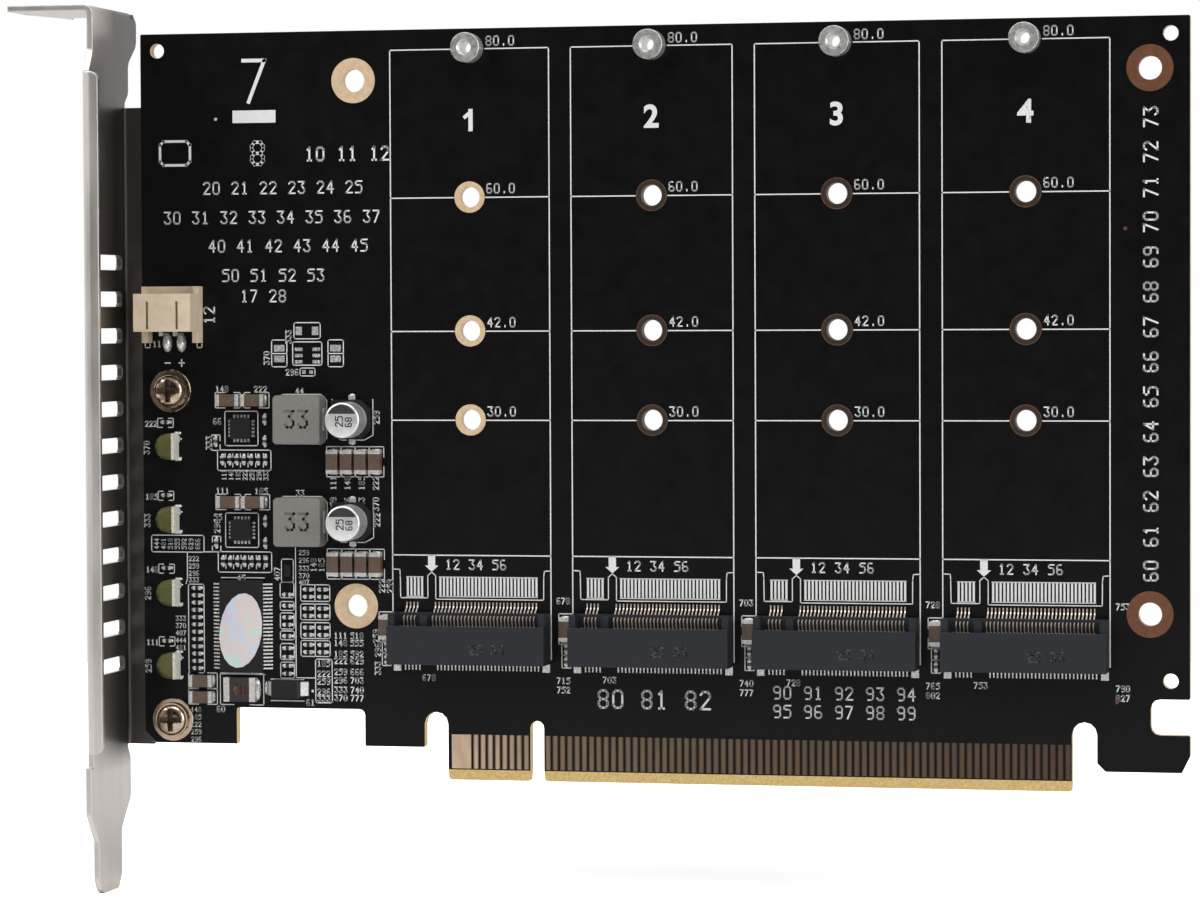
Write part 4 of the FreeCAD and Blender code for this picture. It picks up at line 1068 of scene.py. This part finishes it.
# half width and reach of the arms of the screws' cross and radius of its middle, for a head of
# radius 1
CROSS_HALF = 0.17
CROSS_ARM = 0.66
CROSS_MIDDLE = 0.27


def in_arm(a, b, inset=0.0):
    """Whether (a, b) lies in the arms of the cross that run along b."""
    return abs(a) < CROSS_HALF - inset - 0.04 * abs(b) / CROSS_ARM and abs(b) < CROSS_ARM - inset


def in_drive(u, v):
    """Whether (u, v) lies well inside the cross."""
    inset = 0.01
    return in_arm(u, v, inset) or in_arm(v, u, inset) or math.hypot(u, v) < CROSS_MIDDLE - inset


def screw_height(u, v):
    """Height of the head above its flange at (u, v), for a head of radius 1."""
    r = math.hypot(u, v)
    dome_edge = 0.84
    rim_edge = 0.88
    if r >= 1:
        return 0.0
    if r < dome_edge:
        height = 0.22 + 0.34 * math.sqrt(1 - (r / dome_edge) ** 4)
    else:
        # a rim round the dome that falls off to a groove
        height = 0.3 - 0.16 * min(1, max(0, rim_edge - r) / 0.04)
    # the drive is deep in the middle and shallow at the tips
    for a, b in ((u, v), (v, u)):
        if in_arm(a, b):
            height = min(height, 0.34 * abs(b) / CROSS_ARM - 0.15)
    if r < CROSS_MIDDLE:
        height = min(height, -0.1)
    return height


def make_screws():
    """Washer-head screws with a domed cross-drive head whose cross is painted with shade."""
    heads, drives = Pieces(), Pieces()
    flange = 2.93
    radius = 2.36
    base = FRONT - 0.62
    rings = 44
    sides = 96
    for x, z in SCREWS:
        heads.turned(x, z, [(1.45, BACK), (1.45, SCREW_END), (0.9, SCREW_END)], 24)
        heads.turned(x, z, [(flange, FRONT), (flange, base + 0.12), (flange - 0.1, base),
                            (radius + 0.01, base)], 64)
        points = []
        for ring in range(rings + 1):
            r = radius * (1 - ring / rings) ** 0.9
            for across, up in circle(sides):
                height = 2.0 * screw_height(r * across / radius, r * up / radius)
                points.append((x + r * across, base - height, z + r * up))
        faces = []
        deep = []
        for ring in range(rings):
            r = (1 - (ring + 0.5) / rings) ** 0.9
            for k, face in enumerate(band(ring * sides, sides)):
                angle = 2 * math.pi * (k + 0.5) / sides
                # faces well inside the cross take the painted shade of the recess
                kind = deep if in_drive(r * math.cos(angle), r * math.sin(angle)) else faces
                kind.append(face)
        heads.add(points, faces)
        drives.add(points, deep)
    drives.make("screw_drives", DRIVE_SHADE, "nickel_screw", smooth=True)
    heads.make("screw_heads", SCREW, "nickel_screw", smooth=True, replaces=("bracket_screws",))


# ways of the contacts: distance in front of the board and height
TAIL = ((0.16, 24.12), (0.16, 23.55), (0.3, 23.35), (0.85, 23.0), (1.02, 22.85), (1.06, 22.5))
UPPER_TIP = ((1.45, 22.4), (1.95, 22.15), (1.9, 21.8), (1.45, 20.3))
REAR_TAIL = ((0.35, 15.95), (0.3, 15.7), (0.16, 15.45), (0.16, 14.88))
LOWER_TIP = ((2.75, 21.0), (2.45, 20.5), (2.6, 19.6))


def make_contacts():
    """The 67 contacts of each socket: S-shaped tails in front, short ones behind, tips inside."""
    pitch = 0.25
    key_pins = range(59, 67)
    for number, slot in enumerate(SLOTS, start=1):
        tails, tips, rear = Pieces(), Pieces(), Pieces()
        for pin in range(1, 76):
            if pin in key_pins:
                continue
            x = slot + PIN_SPAN - (pin - 1) * pitch
            if pin % 2 == 0:
                tails.bar(x, TAIL, 0.165, 0.13)
                tips.bar(x, UPPER_TIP, 0.14, 0.1)
            else:
                rear.bar(x, REAR_TAIL, 0.18, 0.15)
                tips.bar(x, LOWER_TIP, 0.2, 0.12)
        tails.make("contact_tails_%d" % number, BRONZE, "tinned_leads",
                   replaces=("m2_contacts_%d" % number,))
        tips.make("contact_tips_%d" % number, CONTACT_GOLD, "tinned_leads")
        rear.make("contact_rear_%d" % number, SOLDER, "tinned_leads")


def make_cans():
    """Round cans with a rolled rim and a dark printed segment."""
    cans, marks = Pieces(), Pieces()
    low, high = box_mm("capacitor_cans")
    radius = (high.x - low.x) / 2
    foot = high.y
    top = low.y
    # shares of the radius; the waist of the can lies just above its foot
    shape = ((0.94, foot), (0.94, foot - 0.5), (1, foot - 0.75), (1, foot - 1.0), (0.95, foot - 1.2),
             (1, foot - 1.45), (1, top + 0.4), (0.985, top + 0.18), (0.93, top + 0.03), (0.88, top))
    profile = [(radius * share, y) for share, y in shape] + [(0.02, top)]
    face = top - 0.008
    reach = radius * 0.87
    start = math.asin(0.42)
    corners = 25
    turns = [start + (math.pi - 2 * start) * k / (corners - 1) for k in range(corners)]
    lift = FRONT - face + 0.004
    for can in CANS:
        cans.turned(can.x, can.z, profile, 64)
        marks.add([(can.x + reach * math.cos(turn), face, can.z + reach * math.sin(turn))
                   for turn in turns], [tuple(range(corners))])
        marks.digits("25", can.x - 0.35, can.z - 0.15, 0.95, True, 0.16, lift)
        marks.digits("68", can.x + 0.95, can.z - 0.25, 0.85, True, 0.14, lift)
    cans.make("can_shells", CAN, "aluminium_can", smooth=True, replaces=("capacitor_cans",))
    marks.make("can_marks", INK_BLACK, "black_plastic")


def make_part_marks():
    """Faint plain numbers on the coils, the sockets and the fuse."""
    marks, faint, orange = Pieces(), Pieces(), Pieces()
    for slot in SLOTS:
        faint.digits("25 36", slot + 3.0, 18.0, 1.2, width=0.2, lift=FRONT - SOCKET_LOW.y + 0.01)
    faint.make("socket_marks", INK_FAINT, "socket_plastic")
    fuse = middle("fuse_body")
    orange.digits("48", fuse.x, fuse.z, 1.3, width=0.2,
                  lift=FRONT - box_mm("fuse_body")[0].y + 0.01)
    orange.make("fuse_mark", INK_ORANGE, "fuse_green")
    low = box_mm("inductor_bodies")[0]
    for coil in COILS:
        marks.digits("33", coil.x, coil.z + 0.1, 2.2, width=0.34, lift=FRONT - low.y + 0.012)
    marks.make("coil_marks", INK_GREY, "black_plastic")


# ---------------- the scene
bpy.context.scene.view_settings.view_transform = "Standard"
set_camera()
set_world()
add_lamp("key_left", (-700, -500, 600), (0, 0, 50), (500, 500), 5.6)
add_lamp("top", (60, -350, 900), (20, 0, 50), (700, 300), 4.8)
add_lamp("right", (800, -350, 250), (20, 0, 50), (300, 600), 3.6)
make_floor()
make_rings()
make_bare_pads()
make_legend()
make_numerals()
make_chip_ends()
make_regulator_pads()
make_standoffs()
make_screws()
make_contacts()
make_cans()
make_part_marks()
